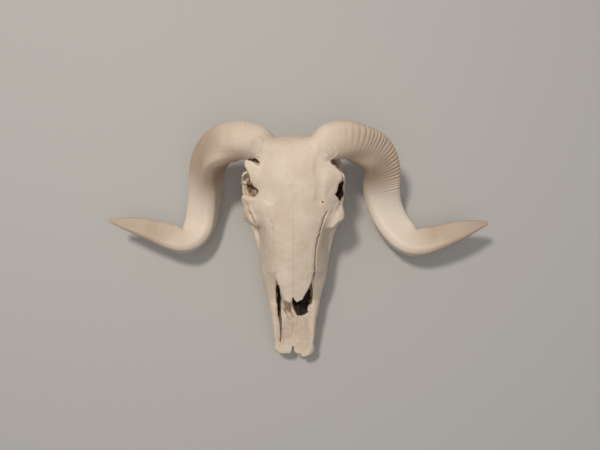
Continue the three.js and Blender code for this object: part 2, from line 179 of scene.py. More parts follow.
def smooth_min(a, b, blend):
    close = np.clip(blend - np.abs(a - b), 0, None)
    return np.minimum(a, b) - close**2 / (4 * blend)


def join(shape, blend=3.0):
    cut, distance = shape
    bone[cut] = smooth_min(bone[cut], distance, blend)


def carve(shape, blend=1.5):
    cut, distance = shape
    bone[cut] = -smooth_min(-bone[cut], distance, blend)


def hermite(at, value, t):
    """Smooth values at t through knots, whose last axis may hold several values each."""
    slope = np.gradient(value, at, axis=0)
    i = np.clip(np.searchsorted(at, t, "right") - 1, 0, len(at) - 2)
    spread = (slice(None),) + (None,) * (np.ndim(value) - 1)
    width = (at[i + 1] - at[i])[spread]
    s = (t - at[i])[spread] / width
    return (
        value[i] * (1 + 2 * s) * (1 - s) ** 2
        + slope[i] * width * s * (1 - s) ** 2
        + value[i + 1] * s**2 * (3 - 2 * s)
        + slope[i + 1] * width * s**2 * (s - 1)
    )


def line(*knots):
    """A smooth line through (position, value) knots, level beyond its ends."""
    at, value = np.array(knots, dtype=float).T

    def value_at(y):
        y = np.asarray(y, dtype=float)
        return hermite(at, value, np.clip(y.ravel(), at[0], at[-1])).reshape(y.shape)

    return value_at


def smooth_path(knots, count, closed=False):
    """Evenly many points along a smooth curve through knots."""
    knots = np.array(knots, dtype=float)
    turns = len(knots)
    if closed:
        knots = np.vstack([knots, knots, knots, knots[:1]])
    chords = np.linalg.norm(np.diff(knots[:, :3], axis=0), axis=1)
    at = np.concatenate([[0], np.cumsum(np.sqrt(chords))])
    ends = (at[turns], at[2 * turns]) if closed else (at[0], at[-1])
    return hermite(at, knots, np.linspace(*ends, count, endpoint=not closed))


SPOKES = 72
OUTLINE_POINTS = 160


def loft(half_section, start, end, rounding=5.0):
    """A body whose sections across Y run smoothly through the points of a half section, each
    (x, z), from the top middle round to the bottom middle."""
    cut, (x, y, z) = near((0, start, 10), (60, end, 122))
    spokes = np.linspace(0, np.pi, SPOKES + 1)
    reach = np.empty((y.size, SPOKES + 1))
    middle = np.empty(y.size)
    for row, at in enumerate(np.clip(y.ravel(), start, end)):
        half = np.array(half_section(at), dtype=float)
        loop = np.vstack([half, half[-2:0:-1] * (-1, 1)])
        outline = smooth_path(loop, OUTLINE_POINTS, closed=True)
        outline = outline[outline[:, 0] >= 0]
        middle[row] = (half[0, 1] + half[-1, 1]) / 2
        turn = np.arctan2(outline[:, 0], outline[:, 1] - middle[row])
        order = np.argsort(turn)
        radius = np.hypot(outline[:, 0], outline[:, 1] - middle[row])
        reach[row] = np.interp(spokes, turn[order], radius[order])
    lean = np.gradient(reach, spokes[1], axis=1) / reach
    shorten = 1 / np.sqrt(1 + np.clip(lean, -2, 2) ** 2)
    up = z - middle[None, :, None]
    turn = np.arctan2(x, up) / spokes[1]
    spoke = np.clip(turn.astype(int), 0, SPOKES - 1)
    rows = np.arange(y.size)[None, :, None]
    share = turn - spoke
    edge = reach[rows, spoke] * (1 - share) + reach[rows, spoke + 1] * share
    side = (np.hypot(x, up) - edge) * shorten[rows, spoke]
    beyond = np.maximum(start - y, y - end) + 0 * side
    return cut, -smooth_min(-side, -beyond, rounding)


roof = line(
    (-96, 66), (-62, 83.5), (-20, 98.5), (20, 108), (60, 116), (80, 117), (92, 114), (99, 107),
    (103, 97), (105, 82),
)
# The side walls stand lower than the roof in front, where the nasal opening is.
opening_rim = line((-118, 41), (-103, 47), (-88, 57), (-74, 68), (-63, 79), (-52, 92))
shoulder_x = line(
    (-118, 26), (-80, 26), (-62, 24), (-20, 27), (0, 34), (20, 43), (38, 42), (56, 51), (64, 48)
)
shoulder_drop = line((-118, 5), (-62, 7), (0, 9), (20, 10), (38, 9), (64, 9))
cheek_x = line(
    (-118, 29), (-100, 31), (-80, 37), (-62, 41), (-20, 43), (-10, 44), (-2, 47), (4, 58), (20, 60),
    (40, 62), (64, 60),
)
cheek_z = line((-118, 34), (-80, 41), (-40, 46), (-10, 53), (4, 61), (64, 62))
alveolus_x = line((-118, 26), (-80, 33), (-50, 38), (-8, 39), (20, 44), (64, 50))
alveolus_z = line((-118, 25), (-80, 21), (-20, 22), (-4, 30), (12, 44), (64, 54))
palate_z = line((-118, 28), (-60, 31), (-10, 34), (20, 42), (64, 50))


# The brow stays level out to its shoulder and then falls, more so by the orbits.
plateau = line((-118, 0.5), (-20, 0.5), (20, 0.3), (64, 0.25))


def wall_top(y):
    return min(roof(y), opening_rim(y)) if y < -52 else roof(y)


def face_section(y):
    return [
        (0, wall_top(y)),
        (shoulder_x(y) * 0.72, wall_top(y) - shoulder_drop(y) * plateau(y)),
        (shoulder_x(y), wall_top(y) - shoulder_drop(y)),
        (cheek_x(y), cheek_z(y)),
        (alveolus_x(y), alveolus_z(y)),
        (0, palate_z(y)),
    ]


cranium_x = line((42, 28), (60, 45), (84, 46), (95, 40), (105, 29))
temple_x = line((40, 30), (70, 34), (96, 33), (105, 24))


def cranium_section(y):
    return [
        (0, roof(y)),
        (cranium_x(y) * 0.65, roof(y) - 3),
        (cranium_x(y), roof(y) * 0.68 + 18),
        (temple_x(y), roof(y) * 0.35 + 22),
        (temple_x(y) * 0.7, 38),
        (0, 32),
    ]


snout_x = line((-170, 20), (-166, 24), (-150, 25.5), (-130, 27.5), (-104, 30))
snout_top = line((-170, 30), (-150, 36), (-104, 47))


def snout_section(y):
    return [
        (0, snout_top(y) - 3),
        (snout_x(y) - 5, snout_top(y)),
        (snout_x(y), snout_top(y) - 6),
        (snout_x(y) - 3, 23),
        (0, 25),
    ]


join(loft(face_section, -114, 64))
join(loft(cranium_section, 42, 105), blend=1)
join(loft(snout_section, -170, -98, rounding=4), blend=5)

# ---- Underside and nape -------------------------------------------------------------------------
# The base of the brain case with its ear capsules, the two condyles that the neck turns on,
# the hooked processes beside them, the crest for the neck's muscles and the pterygoid plates.


def oval(offsets, radii):
    """Distance to an ellipsoid from offsets along its axes, near enough for shaping."""
    scaled = np.sqrt(sum((o / r) ** 2 for o, r in zip(offsets, radii))) + 1e-3
    steep = np.sqrt(sum((o / r**2) ** 2 for o, r in zip(offsets, radii)))
    return scaled * (scaled - 1) / (steep + 1e-4)


def near_centre(centre, reach, side):
    """The part of the grid round a centre, and the offsets from there."""
    cut, place = near(np.subtract(centre, reach), np.add(centre, reach), side)
    return cut, [p - c for p, c in zip(place, centre)]


def from_axis(offsets, axis):
    """How far offsets lie along an axis, and how far off it."""
    along = sum(o * a for o, a in zip(offsets, axis))
    return along, np.sqrt(np.clip(sum(o * o for o in offsets) - along * along, 0, None))


def ellipsoid(centre, radii, side=0, axis=None):
    """An ellipsoid, or with an axis a round one: radii across, across and along it."""
    cut, offsets = near_centre(centre, max(radii), side)
    if axis is None:
        return cut, oval(offsets, radii)
    along, across = from_axis(offsets, axis)
    return cut, oval((across, along), (radii[0], radii[2]))


def bar(knots, up=(0, 0, 1), side=0):
    """A rounded bar through knots (x, y, z, half height, half width)."""
    path = smooth_path(knots, 5 * (len(knots) - 1) + 1)
    places, radii = path[:, :3], path[:, 3:]
    reach = radii.max(axis=1)[:, None]
    cut, (x, y, z) = near((places - reach).min(axis=0), (places + reach).max(axis=0), side)
    distance = np.float32(1e3)
    for a, b, radii_a, radii_b in zip(places, places[1:], radii, radii[1:]):
        span = b - a
        ahead = span / np.linalg.norm(span)
        rise = up - ahead * np.dot(up, ahead)
        rise /= np.linalg.norm(rise)
        across = np.cross(ahead, rise)
        share = ((x - a[0]) * span[0] + (y - a[1]) * span[1] + (z - a[2]) * span[2]) / (span @ span)
        share = np.clip(share, 0, 1)
        off = [q - a[k] - share * span[k] for k, q in enumerate((x, y, z))]
        height, width = (radii_a[k] + share * (radii_b[k] - radii_a[k]) for k in (0, 1))
        offsets = [off[0] * d[0] + off[1] * d[1] + off[2] * d[2] for d in (rise, across, ahead)]
        distance = np.minimum(distance, oval(offsets, (height, width, np.minimum(height, width))))
    return cut, distance


join(bar([(0, 20, 40, 7, 7), (0, 60, 34, 7, 8), (0, 98, 30, 8, 12)]), blend=5)
join(ellipsoid((14, 102, 27), (10, 12, 13)), blend=4)
join(ellipsoid((23, 80, 32), (9, 14, 11)), blend=3)
join(bar([(26, 84, 46, 7, 7), (40, 87, 52, 5.5, 5.5)]), blend=4)
paracondylar = [(30, 94, 46, 8, 5), (28, 96, 26, 7, 4), (25, 98, 8, 5, 3), (24, 98.5, -3, 3.5, 2.5)]
join(bar(paracondylar, up=(0, 1, 0)), blend=4)
nape_crest = [(-36, 92, 56, 4, 4), (-25, 99, 78, 4, 4), (0, 101, 86, 4, 5), (25, 99, 78, 4, 4)]
join(bar(nape_crest + [(36, 92, 56, 4, 4)], side=1), blend=6)
pterygoid = [(15, -4, 34, 9, 2.4), (14, 14, 33, 12, 2), (14, 32, 36, 11, 2), (15, 42, 40, 7, 2)]

# ---- Horn stems ---------------------------------------------------------------------------------
# The bony stems that the horns are seated on, and the course of each horn: a full turn back,
# out and down beside the cheek, then forward and out to the tip.

join(bar([(18, 80, 94, 13, 13), (30, 87, 98, 16, 14), (43, 94, 101, 19, 18)]), blend=9)
# Each knot is the middle of the horn and its radius there.
horn_courses = {
    "left": [
        (34, 91, 97, 18), (45, 96.5, 103, 22), (63, 98.5, 105, 23), (93, 88, 84, 21.5),
        (106, 69, 60, 21), (108.5, 48, 40, 21), (114, 22, 25, 20.5), (128, -6, 23, 20.5),
        (153, -26, 34, 18.5), (184, -18, 45, 14.5), (212, -7, 53, 10.8), (239, 2, 58, 2.5),
    ],
    "right": [
        (36, 90, 97, 18), (48, 96, 103, 21.5), (65, 97.5, 105, 23.5), (93, 86, 84, 21.5),
        (105.5, 69, 60, 20.5), (110, 48, 40, 20), (115, 20, 25, 19.5), (121, -5, 23, 19),
        (139, -23, 36, 17.5), (166, -14, 47, 14), (193, -4, 54, 10.8), (228, 5, 58, 2.5),
    ],
}
SIDES = {"left": 1, "right": -1}
HORN_RINGS = 640
# The sheath starts a short way up the first stretch of its course.
SEAT = 0.035


def smoothed(values, passes):
    """Values along a horn, eased between its two ends. The passes are those for 480 rings, and
    more rings take more of them to come to the same."""
    for _ in range(round(passes * (HORN_RINGS / 480) ** 2)):
        values[1:-1] = (values[:-2] + 2 * values[1:-1] + values[2:]) / 4
    return values


horn_paths = {}
for name, side in SIDES.items():
    path = smoothed(smooth_path(horn_courses[name], HORN_RINGS + 1), 230)
    horn_paths[name] = path[round(SEAT * HORN_RINGS) :]
    seat = [(*knot, knot[-1]) for knot in horn_courses[name][:3]]
    join(bar(seat, side=side), blend=8)

# ---- Brows and orbits ---------------------------------------------------------------------------
# Each eye socket is a rimmed funnel between the brow, the cheekbone and the bars before and
# behind it. The brow over it is a low shelf, with the hole of a vein inside it.

# The right orbit cuts deeper into the brow than the left one.
orbits = {1: ((50, 41, 80), 12.5), -1: ((49.5, 44.5, 81), 17)}
ORBIT_AXIS = np.array((0.82, -0.1, 0.56))
ORBIT_AXIS /= np.linalg.norm(ORBIT_AXIS)
RIM = 2.6


def ring(centre, axis, radius, rim, side=0):
    cut, offsets = near_centre(centre, radius + rim, side)
    along, across = from_axis(offsets, axis)
    return cut, np.hypot(across - radius, along) - rim


def inside_outline(points, across, up):
    """Distance to a closed outline over two coordinates, below 0 inside it."""
    points = np.array(points, dtype=float)
    nearest = np.full(across.shape, 1e6)
    inside = np.zeros(across.shape, dtype=bool)
    for (a, b), (c, d) in zip(points, np.roll(points, -1, axis=0)):
        share = ((across - a) * (c - a) + (up - b) * (d - b)) / ((c - a) ** 2 + (d - b) ** 2)
        share = np.clip(share, 0, 1)
        off = (across - a - share * (c - a)) ** 2 + (up - b - share * (d - b)) ** 2
        nearest = np.minimum(nearest, off)
        crosses = (b > up) != (d > up)
        slope = (c - a) / (d - b) if d != b else 0
        inside ^= crosses & (across < a + (up - b) * slope)
    return (np.sqrt(nearest) * np.where(inside, -1, 1)).astype(np.float32)


# The bars behind and before the orbit, then the shelf of the tear bone before it, which is
# flatter on the left, and the cheekbone.
behind_orbit = [(40, 66, 104, 6, 6), (50, 62, 99, 4, 6), (56, 57, 84, 3.5, 4), (58.5, 53, 64, 4, 4)]
join(bar(behind_orbit), blend=5)
join(bar([(38, 20, 91, 6, 6), (49, 24, 84, 4, 5), (55, 20, 75, 4, 4), (56, 8, 60, 3, 4)]), blend=5)
join(ellipsoid((46, 15, 80), (12, 17, 12.5), side=-1), blend=5)
join(ellipsoid((46, 14, 81.5), (15, 19, 8), side=1), blend=5)
cheekbone = [(56, 52, 60, 8, 4), (56, 66, 60, 6, 3.5), (52.5, 76, 60, 5, 6), (42, 90, 57, 6, 8)]
join(bar(cheekbone + [(32, 93, 54, 8, 8)]), blend=4)
join(ellipsoid((42, 80, 55), (13, 9, 5)), blend=3)
for side, (centre, radius) in orbits.items():
    funnel = (radius - 0.5, radius - 0.5, 29)
    carve(ellipsoid(centre - 6 * ORBIT_AXIS, funnel, side, ORBIT_AXIS), blend=1.5)
    join(ring(centre, ORBIT_AXIS, radius + 1, RIM, side), blend=2)
    carve(ellipsoid(centre + 6 * ORBIT_AXIS, funnel, side, ORBIT_AXIS), blend=1.5)
join(bar([(60, 52, 68, 2.5, 2.5), (53, 50, 73, 2, 2), (45, 49, 77, 2, 2)], side=-1), blend=1.5)
# The brow's edge from the temple past the orbit to the tear bone, seen from above: lobes
# and a notch over the orbit, whose edges are broken.
brow_outlines = {
    1: [
        (20, 72), (41, 71), (48, 67.5), (54, 62), (56.5, 59), (57, 51.5), (53, 47.5), (51, 38),
        (48.5, 35), (52.5, 31), (56, 25.5), (58, 18), (60, 11.5), (62, 7), (60.5, 2.5), (52, 7),
        (41, 15), (20, 20),
    ],
    -1: [
        (20, 80), (50, 82), (57, 75), (57, 67), (54, 62), (50.5, 56), (50, 51), (45.4, 45.5),
        (41, 40.5), (40, 38), (43, 34), (49, 31), (54, 34), (60.5, 37.5), (60.5, 22), (57.5, 5),
        (47, 1), (40, 10), (20, 20),
    ],
}
brow_fall = line((0, 30), (20, 23), (36, 14), (50, 8), (76, 8))
for side, outline in brow_outlines.items():
    cut, (x, y, z) = near((0, 0, 66), (64, 80, 118), side, margin=4)
    # The shelf falls away from the roof outwards, and keeps under it by the middle.
    plan = inside_outline(outline, *np.broadcast_arrays(x[..., 0], y[..., 0]))[..., None]
    top = roof(y) - brow_fall(y) * (np.clip(x - 24, 0, None) / 36) ** 1.4
    top = top - 0.0028 * np.clip(x, 0, 31) ** 2 - np.clip((36 - x) / 8, 0, 2)
    plate = np.maximum(z - top, top - 4 - np.clip(60 - x, 0, None) * 0.5 - z)
    join((cut, -smooth_min(-plate, -plan, 3)), blend=2)
    # What stands out past the shelf's edge is cut away over the orbit.
    beyond = np.maximum(np.maximum(84 - z, np.abs(y - 47) - 21), 38 - x)
    carve((cut, np.maximum(beyond, 0.3 - plan)), blend=1)
# The hollow of the temple behind the orbit, roofed over on the right, and the space under
# the orbit's floor.
carve(ellipsoid((45, 70, 72), (7.5, 14, 20)), blend=4)
carve(ellipsoid((43, 60, 60), (9, 13, 15)), blend=4)
behind_brow = [(47, 74, 80, 6, 6), (49, 74, 95, 5, 7), (50, 73, 114, 4.5, 6.5)]
carve(bar(behind_brow, up=(0, 1, 0), side=1), blend=2)
carve(ellipsoid((38, 34, 44), (19, 27, 17)), blend=4)
carve(ellipsoid((0, 22, 30), (12.5, 26, 14)), blend=3)
join(bar(pterygoid), blend=3)


def on_top(points):
    """Points (x, y) set on the upper surface."""
    i, j = (np.abs(axes[k][:, None] - np.array(points)[:, k]).argmin(axis=0) for k in (0, 1))
    filled = bone[i, j] < 0
    k = filled.shape[1] - 1 - filled[:, ::-1].argmax(axis=1)
    inner, outer = bone[i, j, k], bone[i, j, np.minimum(k + 1, len(axes[2]) - 1)]
    return np.column_stack([points, axes[2][k] + inner / (inner - outer) * GRAIN])


def groove(points, width, depth, side=0):
    """Carves a groove along points (x, y) of the upper surface, with long rounded ends."""
    radius = (width**2 / 4 + depth**2) / (2 * depth)
    mirror = side or 1
    rims = on_top([(x * mirror, y) for x, y in points])
    knots = [(x * mirror, y, z + radius - depth, radius, radius) for x, y, z in rims]
    carve(bar(knots, side=side), blend=min(depth, 1.5))


brow_line = [(31, 84), (32, 66), (33, 46), (34, 26)]
groove(brow_line, width=9, depth=0.6, side=1)
groove(brow_line, width=9, depth=0.35, side=-1)
carve(ellipsoid(on_top([(34, 26)])[0], (0.9, 1.3, 4), side=1), blend=0.5)
# On the right a slit lies before the horn, and the tear bone's suture is open.
groove([(53, 79), (49, 77), (44.5, 74), (40, 70)], width=3.4, depth=6, side=-1)
open_suture = [(52, 17), (49, 9), (45.5, 1)]
groove(open_suture, width=1, depth=1.5, side=-1)

# ---- Cheeks -------------------------------------------------------------------------------------
# A crest runs along each cheek from the arch to the facial tuber over the back teeth, under a
# shallow pit before the orbit. The hole of the cheek's nerve opens over the front teeth.

face_crest = [(58, 14, 60, 3, 2.5), (49, -8, 52, 3, 2.5), (43, -30, 42, 3.5, 2.5), (40, -44, 38, 2, 1.5)]
join(bar(face_crest), blend=6)
carve(ellipsoid((58, -6, 75), (13, 14, 15)), blend=2)
carve(ellipsoid((38, -64, 42), (6, 4, 2.6)), blend=2)

# ---- Nose and palate ----------------------------------------------------------------------------
# Thin walls and a roof stand round the nasal cavity, which holds two pairs of scrolled bones.
# In front of the cavity the palate carries two long slits, and the snout ends in a notch.


def cavity_x(y):
    return min(cheek_x(y), shoulder_x(y)) - 3.2


cavity_floor = line((-114, 31), (-62, 36), (-20, 50))


def cavity_section(y):
    top = 112 if y < -62 else roof(y) - 4
    half = cavity_x(y) if y < -40 else cavity_x(-40) - (y + 40) * 0.3
    return [
        (0, top),
        (half * 0.9, top - (0 if y < -62 else 9)),
        (half, (cavity_floor(y) + top) / 2 - 4),
        (half * 0.8, cavity_floor(y) + 1),
        (0, cavity_floor(y)),
    ]


carve(loft(cavity_section, -101, -14, rounding=3), blend=1.5)
carve(bar([(13, -94, 50, 14, 8), (11.5, -106, 48, 13, 6), (9, -115, 46, 11, 3)], side=1), blend=1)
join(bar([(9, -124, 26.5, 2, 8), (10, -106, 28, 2.5, 12), (12, -88, 30, 2.5, 14)], side=1), blend=2)
slit = [(18, -86, 50, 15, 4.5), (18.6, -98, 47, 13, 3), (18.2, -112, 43, 10, 2), (17, -128, 39, 7, 1.3)]
carve(bar(slit + [(16, -150, 36, 5, 0.7)], side=-1), blend=1)
# The palate before the cavity: a shallow trough between two slits, and a fine gap and a groove
# between its halves.
groove([(0, -156), (0, -140), (0, -122)], width=26, depth=1.6, side=1)
groove([(14, -150), (15.5, -128), (16, -118)], width=3.2, depth=1.2, side=1)
groove([(-2, -156), (-2, -140), (-1.5, -126)], width=1, depth=1.2, side=1)
groove([(4.5, -130), (6, -116)], width=3.5, depth=1.2, side=1)
carve(ellipsoid((8.5, -107, 47), (9, 15, 9), side=-1), blend=1.5)
# The scrolled bones, those of the right side reaching out under the tips of the nasal bones,
# with two ridges on them, and the wall between the two halves of the cavity.
scrolls = {
    -1: [
        (5, -122, 34, 3, 3), (8, -108, 36, 4, 6), (8.5, -90, 47, 8, 7.5), (11, -70, 57, 10, 9),
        (14, -40, 56, 11, 8),
    ],
    1: [(14, -66, 48, 5, 4), (15, -40, 56, 11, 7)],
}
for side, scroll in scrolls.items():
    join(bar(scroll, side=side), blend=4)
for ridge in (
    [(10, -94, 49.5, 2.6, 1.3), (6.5, -105, 44.5, 2.6, 1.3), (2.6, -116, 39.5, 2.4, 1.2)],
    [(14, -102, 43.5, 2, 1), (11, -111, 42, 2, 1), (6, -119, 39, 1.5, 1)],
):
    join(bar(ridge, side=-1), blend=1)
join(bar([(0, -98, 34, 4, 1.2), (0, -80, 38, 8, 1.2), (0, -40, 44, 12, 1.5)], side=1), blend=2)
# Below, the palate has two shallow fissures in front and a pair of holes for its nerves.
carve(bar([(6.5, -148, 21, 5, 1.6), (8, -134, 22, 6, 2.4), (8.5, -122, 23, 4, 2)]), blend=1)
carve(ellipsoid((12, -32, 30), (2.2, 4, 5)), blend=1)
NOTCH_X = -1.5
cut, (x, y, z) = near((-6, -180, 15), (6, -154, 60), side=1)
notch_half = np.interp(y, (-180, -157), (4.8, 0.5))
carve((cut, np.maximum(np.abs(x - NOTCH_X) - notch_half, np.maximum(y + 157, 26 - z))), blend=2)
# The right half ends a little shorter.
cut, (x, y, z) = near((0, -180, 15), (32, -160, 60), side=-1)
carve((cut, y + 166 - np.clip(x - 16, 0, None) * 0.5 + 0 * z), blend=3)

# ---- Nasal bones --------------------------------------------------------------------------------
# The two nasal bones roof the nose as arched plates side by side, and reach free over the
# nasal opening as two rounded tips with a small notch between them.

nasal_x = {
    1: line(
        (-94, 5), (-92, 9.5), (-88, 12), (-76, 18.5), (-62, 23), (-44, 24.5), (-17, 27), (-4, 31),
        (4, 24), (24, 3),
    ),
    -1: line(
        (-95.5, 5), (-94, 9), (-92.5, 10.5), (-89, 12), (-82, 14.5), (-74, 18), (-62, 22),
        (-44, 23), (-17, 23.5), (-4, 24), (4, 20), (24, 3),
    ),
}
nasal_depth = line((-96, 2.2), (-76, 3.2), (-56, 4.5))
nasal_sink = line((-58, 0), (-16, 2.5))
nasal_tip_y = {1: -94.5, -1: -95.5}
# The notch between the tips leans to the right.
nasal_notch_x = {1: (3.4, -1.1), -1: (3.6, 1.1)}


def nasal_arch(x, y):
    """Height of the nose's upper surface."""
    return roof(y) - shoulder_drop(y) * (x / shoulder_x(y)) ** 2


for side in (1, -1):
    cut, (x, y, z) = near((0, -96, 40), (28, -20, 112), side, margin=4)
    arch = nasal_arch(x, y) - nasal_sink(y)
    plate = np.maximum(z - arch, arch - nasal_depth(y) - z)
    # Each half rounds off to its own tip, which leaves the notch between them.
    middle = np.interp(y, (-95, -88, -86), (*nasal_notch_x[side], -9))
    edge = np.maximum(np.maximum(x - nasal_x[side](y), middle - x), nasal_tip_y[side] - y) + 0 * z
    join((cut, -smooth_min(-plate, -edge, 1.8)), blend=0.2)
midline = [(0.3, 44), (0.3, 0), (0.3, -50), (0.3, -88)]
groove(midline, width=1.3, depth=0.4, side=1)
# On the left the joint beside the nasal bone has sprung open, up to the brow.
sprung = [
    (24, -67), (25.5, -44), (26.5, -30), (28.5, -18), (31, -10), (31.5, -5), (34, 2), (35, 7),
    (39, 15),
]
groove(sprung, width=0.9, depth=2.5, side=1)
knitted = [(21.5, -62), (22.5, -36), (24.5, -2), (29, 14), (33, 22)]
groove(knitted, width=1.1, depth=0.6, side=-1)

# ---- Openings behind ----------------------------------------------------------------------------
# The great opening for the spinal cord between the condyles, and the ear openings.

carve(ellipsoid((0, 112, 36), (9, 20, 9)), blend=2)
carve(ellipsoid((44, 88, 53), (8, 3, 3)), blend=1.5)

# ---- Weathering ---------------------------------------------------------------------------------
# Bleached bone isn't smooth: its plates swell and sink a little, and small pits and runs of
# fine ridges cover them.


def ease(share):
    return share**2 * (3 - 2 * share)


def noise(spacing, seed):
    """Smooth random values from -1 to 1 over the whole grid."""
    counts = [int((a[-1] - a[0]) / spacing) + 3 for a in axes]
    field = np.random.default_rng(seed).uniform(-1, 1, counts).astype(np.float32)
    for k, a in enumerate(axes):
        at = (a - a[0]) / spacing
        i = at.astype(int)
        share = ease(at - i).reshape([-1 if k == j else 1 for j in range(3)])
        field = field.take(i, axis=k) * (1 - share) + field.take(i + 1, axis=k) * share
    return field


SWELLING = 0.5
PITTING = 0.2
pitting = noise(5, seed=4)
bone += SWELLING * noise(17, seed=3) + PITTING * pitting
# The thin rims of the orbits and of the brow's shelves are chipped and ragged.
CHIPPING, CHIP_EDGE = 1.3, 1.1
chips = noise(2.6, seed=5)
for side, (centre, radius) in orbits.items():
    cut, distance = ellipsoid(np.add(centre, (0, -6, 2)), (radius + 5, radius + 16, radius + 4), side)
    bone[cut] += CHIPPING * np.clip(-distance / 5, 0, 1) * pitting[cut]
    cut, distance = ellipsoid(centre, (radius + 5, radius + 5, radius + 5), side)
    bone[cut] += CHIP_EDGE * np.clip(-distance / 5, 0, 1) * chips[cut]
cut, distance = ellipsoid((10, -108, 44), (16, 16, 12), side=1)
bone[cut] += CHIP_EDGE * np.clip(-distance / 4, 0, 1) * chips[cut]
GROUND = 0.1
bone = np.maximum(bone, GROUND - axes[2])

# The stems end in flat seats, where the sheaths begin. What the stems and sheaths share in the
# grid is kept, so that the sheaths can be drawn flush with the bone.
flush = bone.copy()
for name, side in SIDES.items():
    base = horn_paths[name][:2, :3]
    ahead = (base[1] - base[0]) / np.linalg.norm(base[1] - base[0])
    seat = [(*knot[:3], knot[3] + 0.3, knot[3] + 0.3) for knot in horn_courses[name][:4]]
    cut, sheath = bar(seat, side=side)
    x, y, z = np.meshgrid(*[a[c] for a, c in zip(axes, cut)], indexing="ij", sparse=True)
    beyond = (x * side - base[0, 0]) * ahead[0] + (y - base[0, 1]) * ahead[1] + (z - base[0, 2]) * ahead[2]
    bone[cut] = np.maximum(bone[cut], -np.maximum(sheath, 0.15 - beyond))
# A broken lip of the left frontal bone laps over the root of the sheath.
lip = [(42, 76.5, 111, 2, 3), (49, 81.5, 118.5, 1.8, 3), (47.5, 89, 123.8, 1.2, 2.5)]
join(bar(lip, side=1), blend=1)

# ---- Parting into bones -------------------------------------------------------------------------
# Each bone is cut out along its sutures, which are hairline joints in an old skull. Seen from
# the side, a suture follows an outline of (y, z) points; a bone takes what lies inside its
# outline and outside the bones before it.


CORNERS = [(i, j, k) for i in (0, 1) for j in (0, 1) for k in (0, 1)]


def cell_values(field, cells):
    """A field at the eight corners of grid cells."""
    x, y, z = cells.T
    return np.stack([field[x + i, y + j, z + k] for i, j, k in CORNERS], axis=1)


def within(values, at):
    """A field and its slope at a place inside each cell, from its corner values."""
    weights = np.stack([1 - at, at], axis=1)
    value = 0
    slope = [0, 0, 0]
    for v, (i, j, k) in zip(values.T, CORNERS):
        wx, wy, wz = weights[:, i, 0], weights[:, j, 1], weights[:, k, 2]
        value = value + v * wx * wy * wz
        slope[0] = slope[0] + v * (2 * i - 1) * wy * wz
        slope[1] = slope[1] + v * (2 * j - 1) * wx * wz
        slope[2] = slope[2] + v * (2 * k - 1) * wx * wy
    return value, np.stack(slope, axis=1)


def crossing_middles(values):
    """In each cell, the middle of the places where a field passes 0 on the cell's edges."""
    total = np.zeros((len(values), 3))
    crossings = np.zeros(len(values))
    for low, corner in enumerate(CORNERS):
        for k, step in enumerate((4, 2, 1)):
            if corner[k]:
                continue
            here, there = values[:, low], values[:, low + step]
            crossed = (here < 0) != (there < 0)
            place = np.tile(np.array(corner, dtype=float), (len(values), 1))
            place[:, k] += np.where(crossed, here / np.where(crossed, here - there, 1), 0)
            total += place * crossed[:, None]
            crossings += crossed
    return total / crossings[:, None]


def slid(at, body_values, cutter_values):
    """Places in cells, moved down the slopes of two fields onto whichever is the surface
    there, or onto the edge that the two share."""
    on_body = (body_values.min(axis=1) < 0) & (body_values.max(axis=1) > 0)
    on_cutter = (cutter_values.min(axis=1) < 0) & (cutter_values.max(axis=1) > 0)
    for _ in range(3):
        off_body, slope_body = within(body_values, at)
        off_cutter, slope_cutter = within(cutter_values, at)
        length_body = np.maximum((slope_body**2).sum(axis=1), 1e-3)
        length_cutter = np.maximum((slope_cutter**2).sum(axis=1), 1e-3)
        shared = (slope_body * slope_cutter).sum(axis=1)
        area = length_body * length_cutter - shared**2
        sharp = on_body & on_cutter & (area > 0.08 * length_body * length_cutter)
        area = np.where(sharp, area, 1)
        pull_body = np.where(sharp, (off_body * length_cutter - off_cutter * shared) / area, 0)
        pull_cutter = np.where(sharp, (off_cutter * length_body - off_body * shared) / area, 0)
        body_only = on_body & ~sharp & (off_body >= off_cutter)
        cutter_only = on_cutter & ~sharp & ~body_only & (off_cutter > off_body)
        pull_body = np.where(body_only, off_body / length_body, pull_body)
        pull_cutter = np.where(cutter_only, off_cutter / length_cutter, pull_cutter)
        at = at - pull_body[:, None] * slope_body - pull_cutter[:, None] * slope_cutter
        at = np.clip(at, 0, 1)
    return at


def quads_between(filled, number):
    """Outward four-sided faces wherever a filled corner of the grid is next to an empty one,
    each through the numbered points of the four cells round that pair."""
    faces = []
    for k in range(3):
        b, c = (k + 1) % 3, (k + 2) % 3
        low, high = [slice(1, -1)] * 3, [slice(1, -1)] * 3
        low[k], high[k] = slice(0, -1), slice(1, None)
        here, there = filled[tuple(low)], filled[tuple(high)]
        spots = np.argwhere(here != there)
        leaving = here[here != there]
        base = spots.copy()
        base[:, b] += 1
        base[:, c] += 1
        around = []
        for back_b, back_c in ((0, 0), (1, 0), (1, 1), (0, 1)):
            cell = base.copy()
            cell[:, b] -= back_b
            cell[:, c] -= back_c
            around.append(number[tuple(cell.T)])
        quads = np.stack(around, axis=1)
        quads[~leaving] = quads[~leaving][:, ::-1]
        faces.append(quads)
    return np.concatenate(faces)


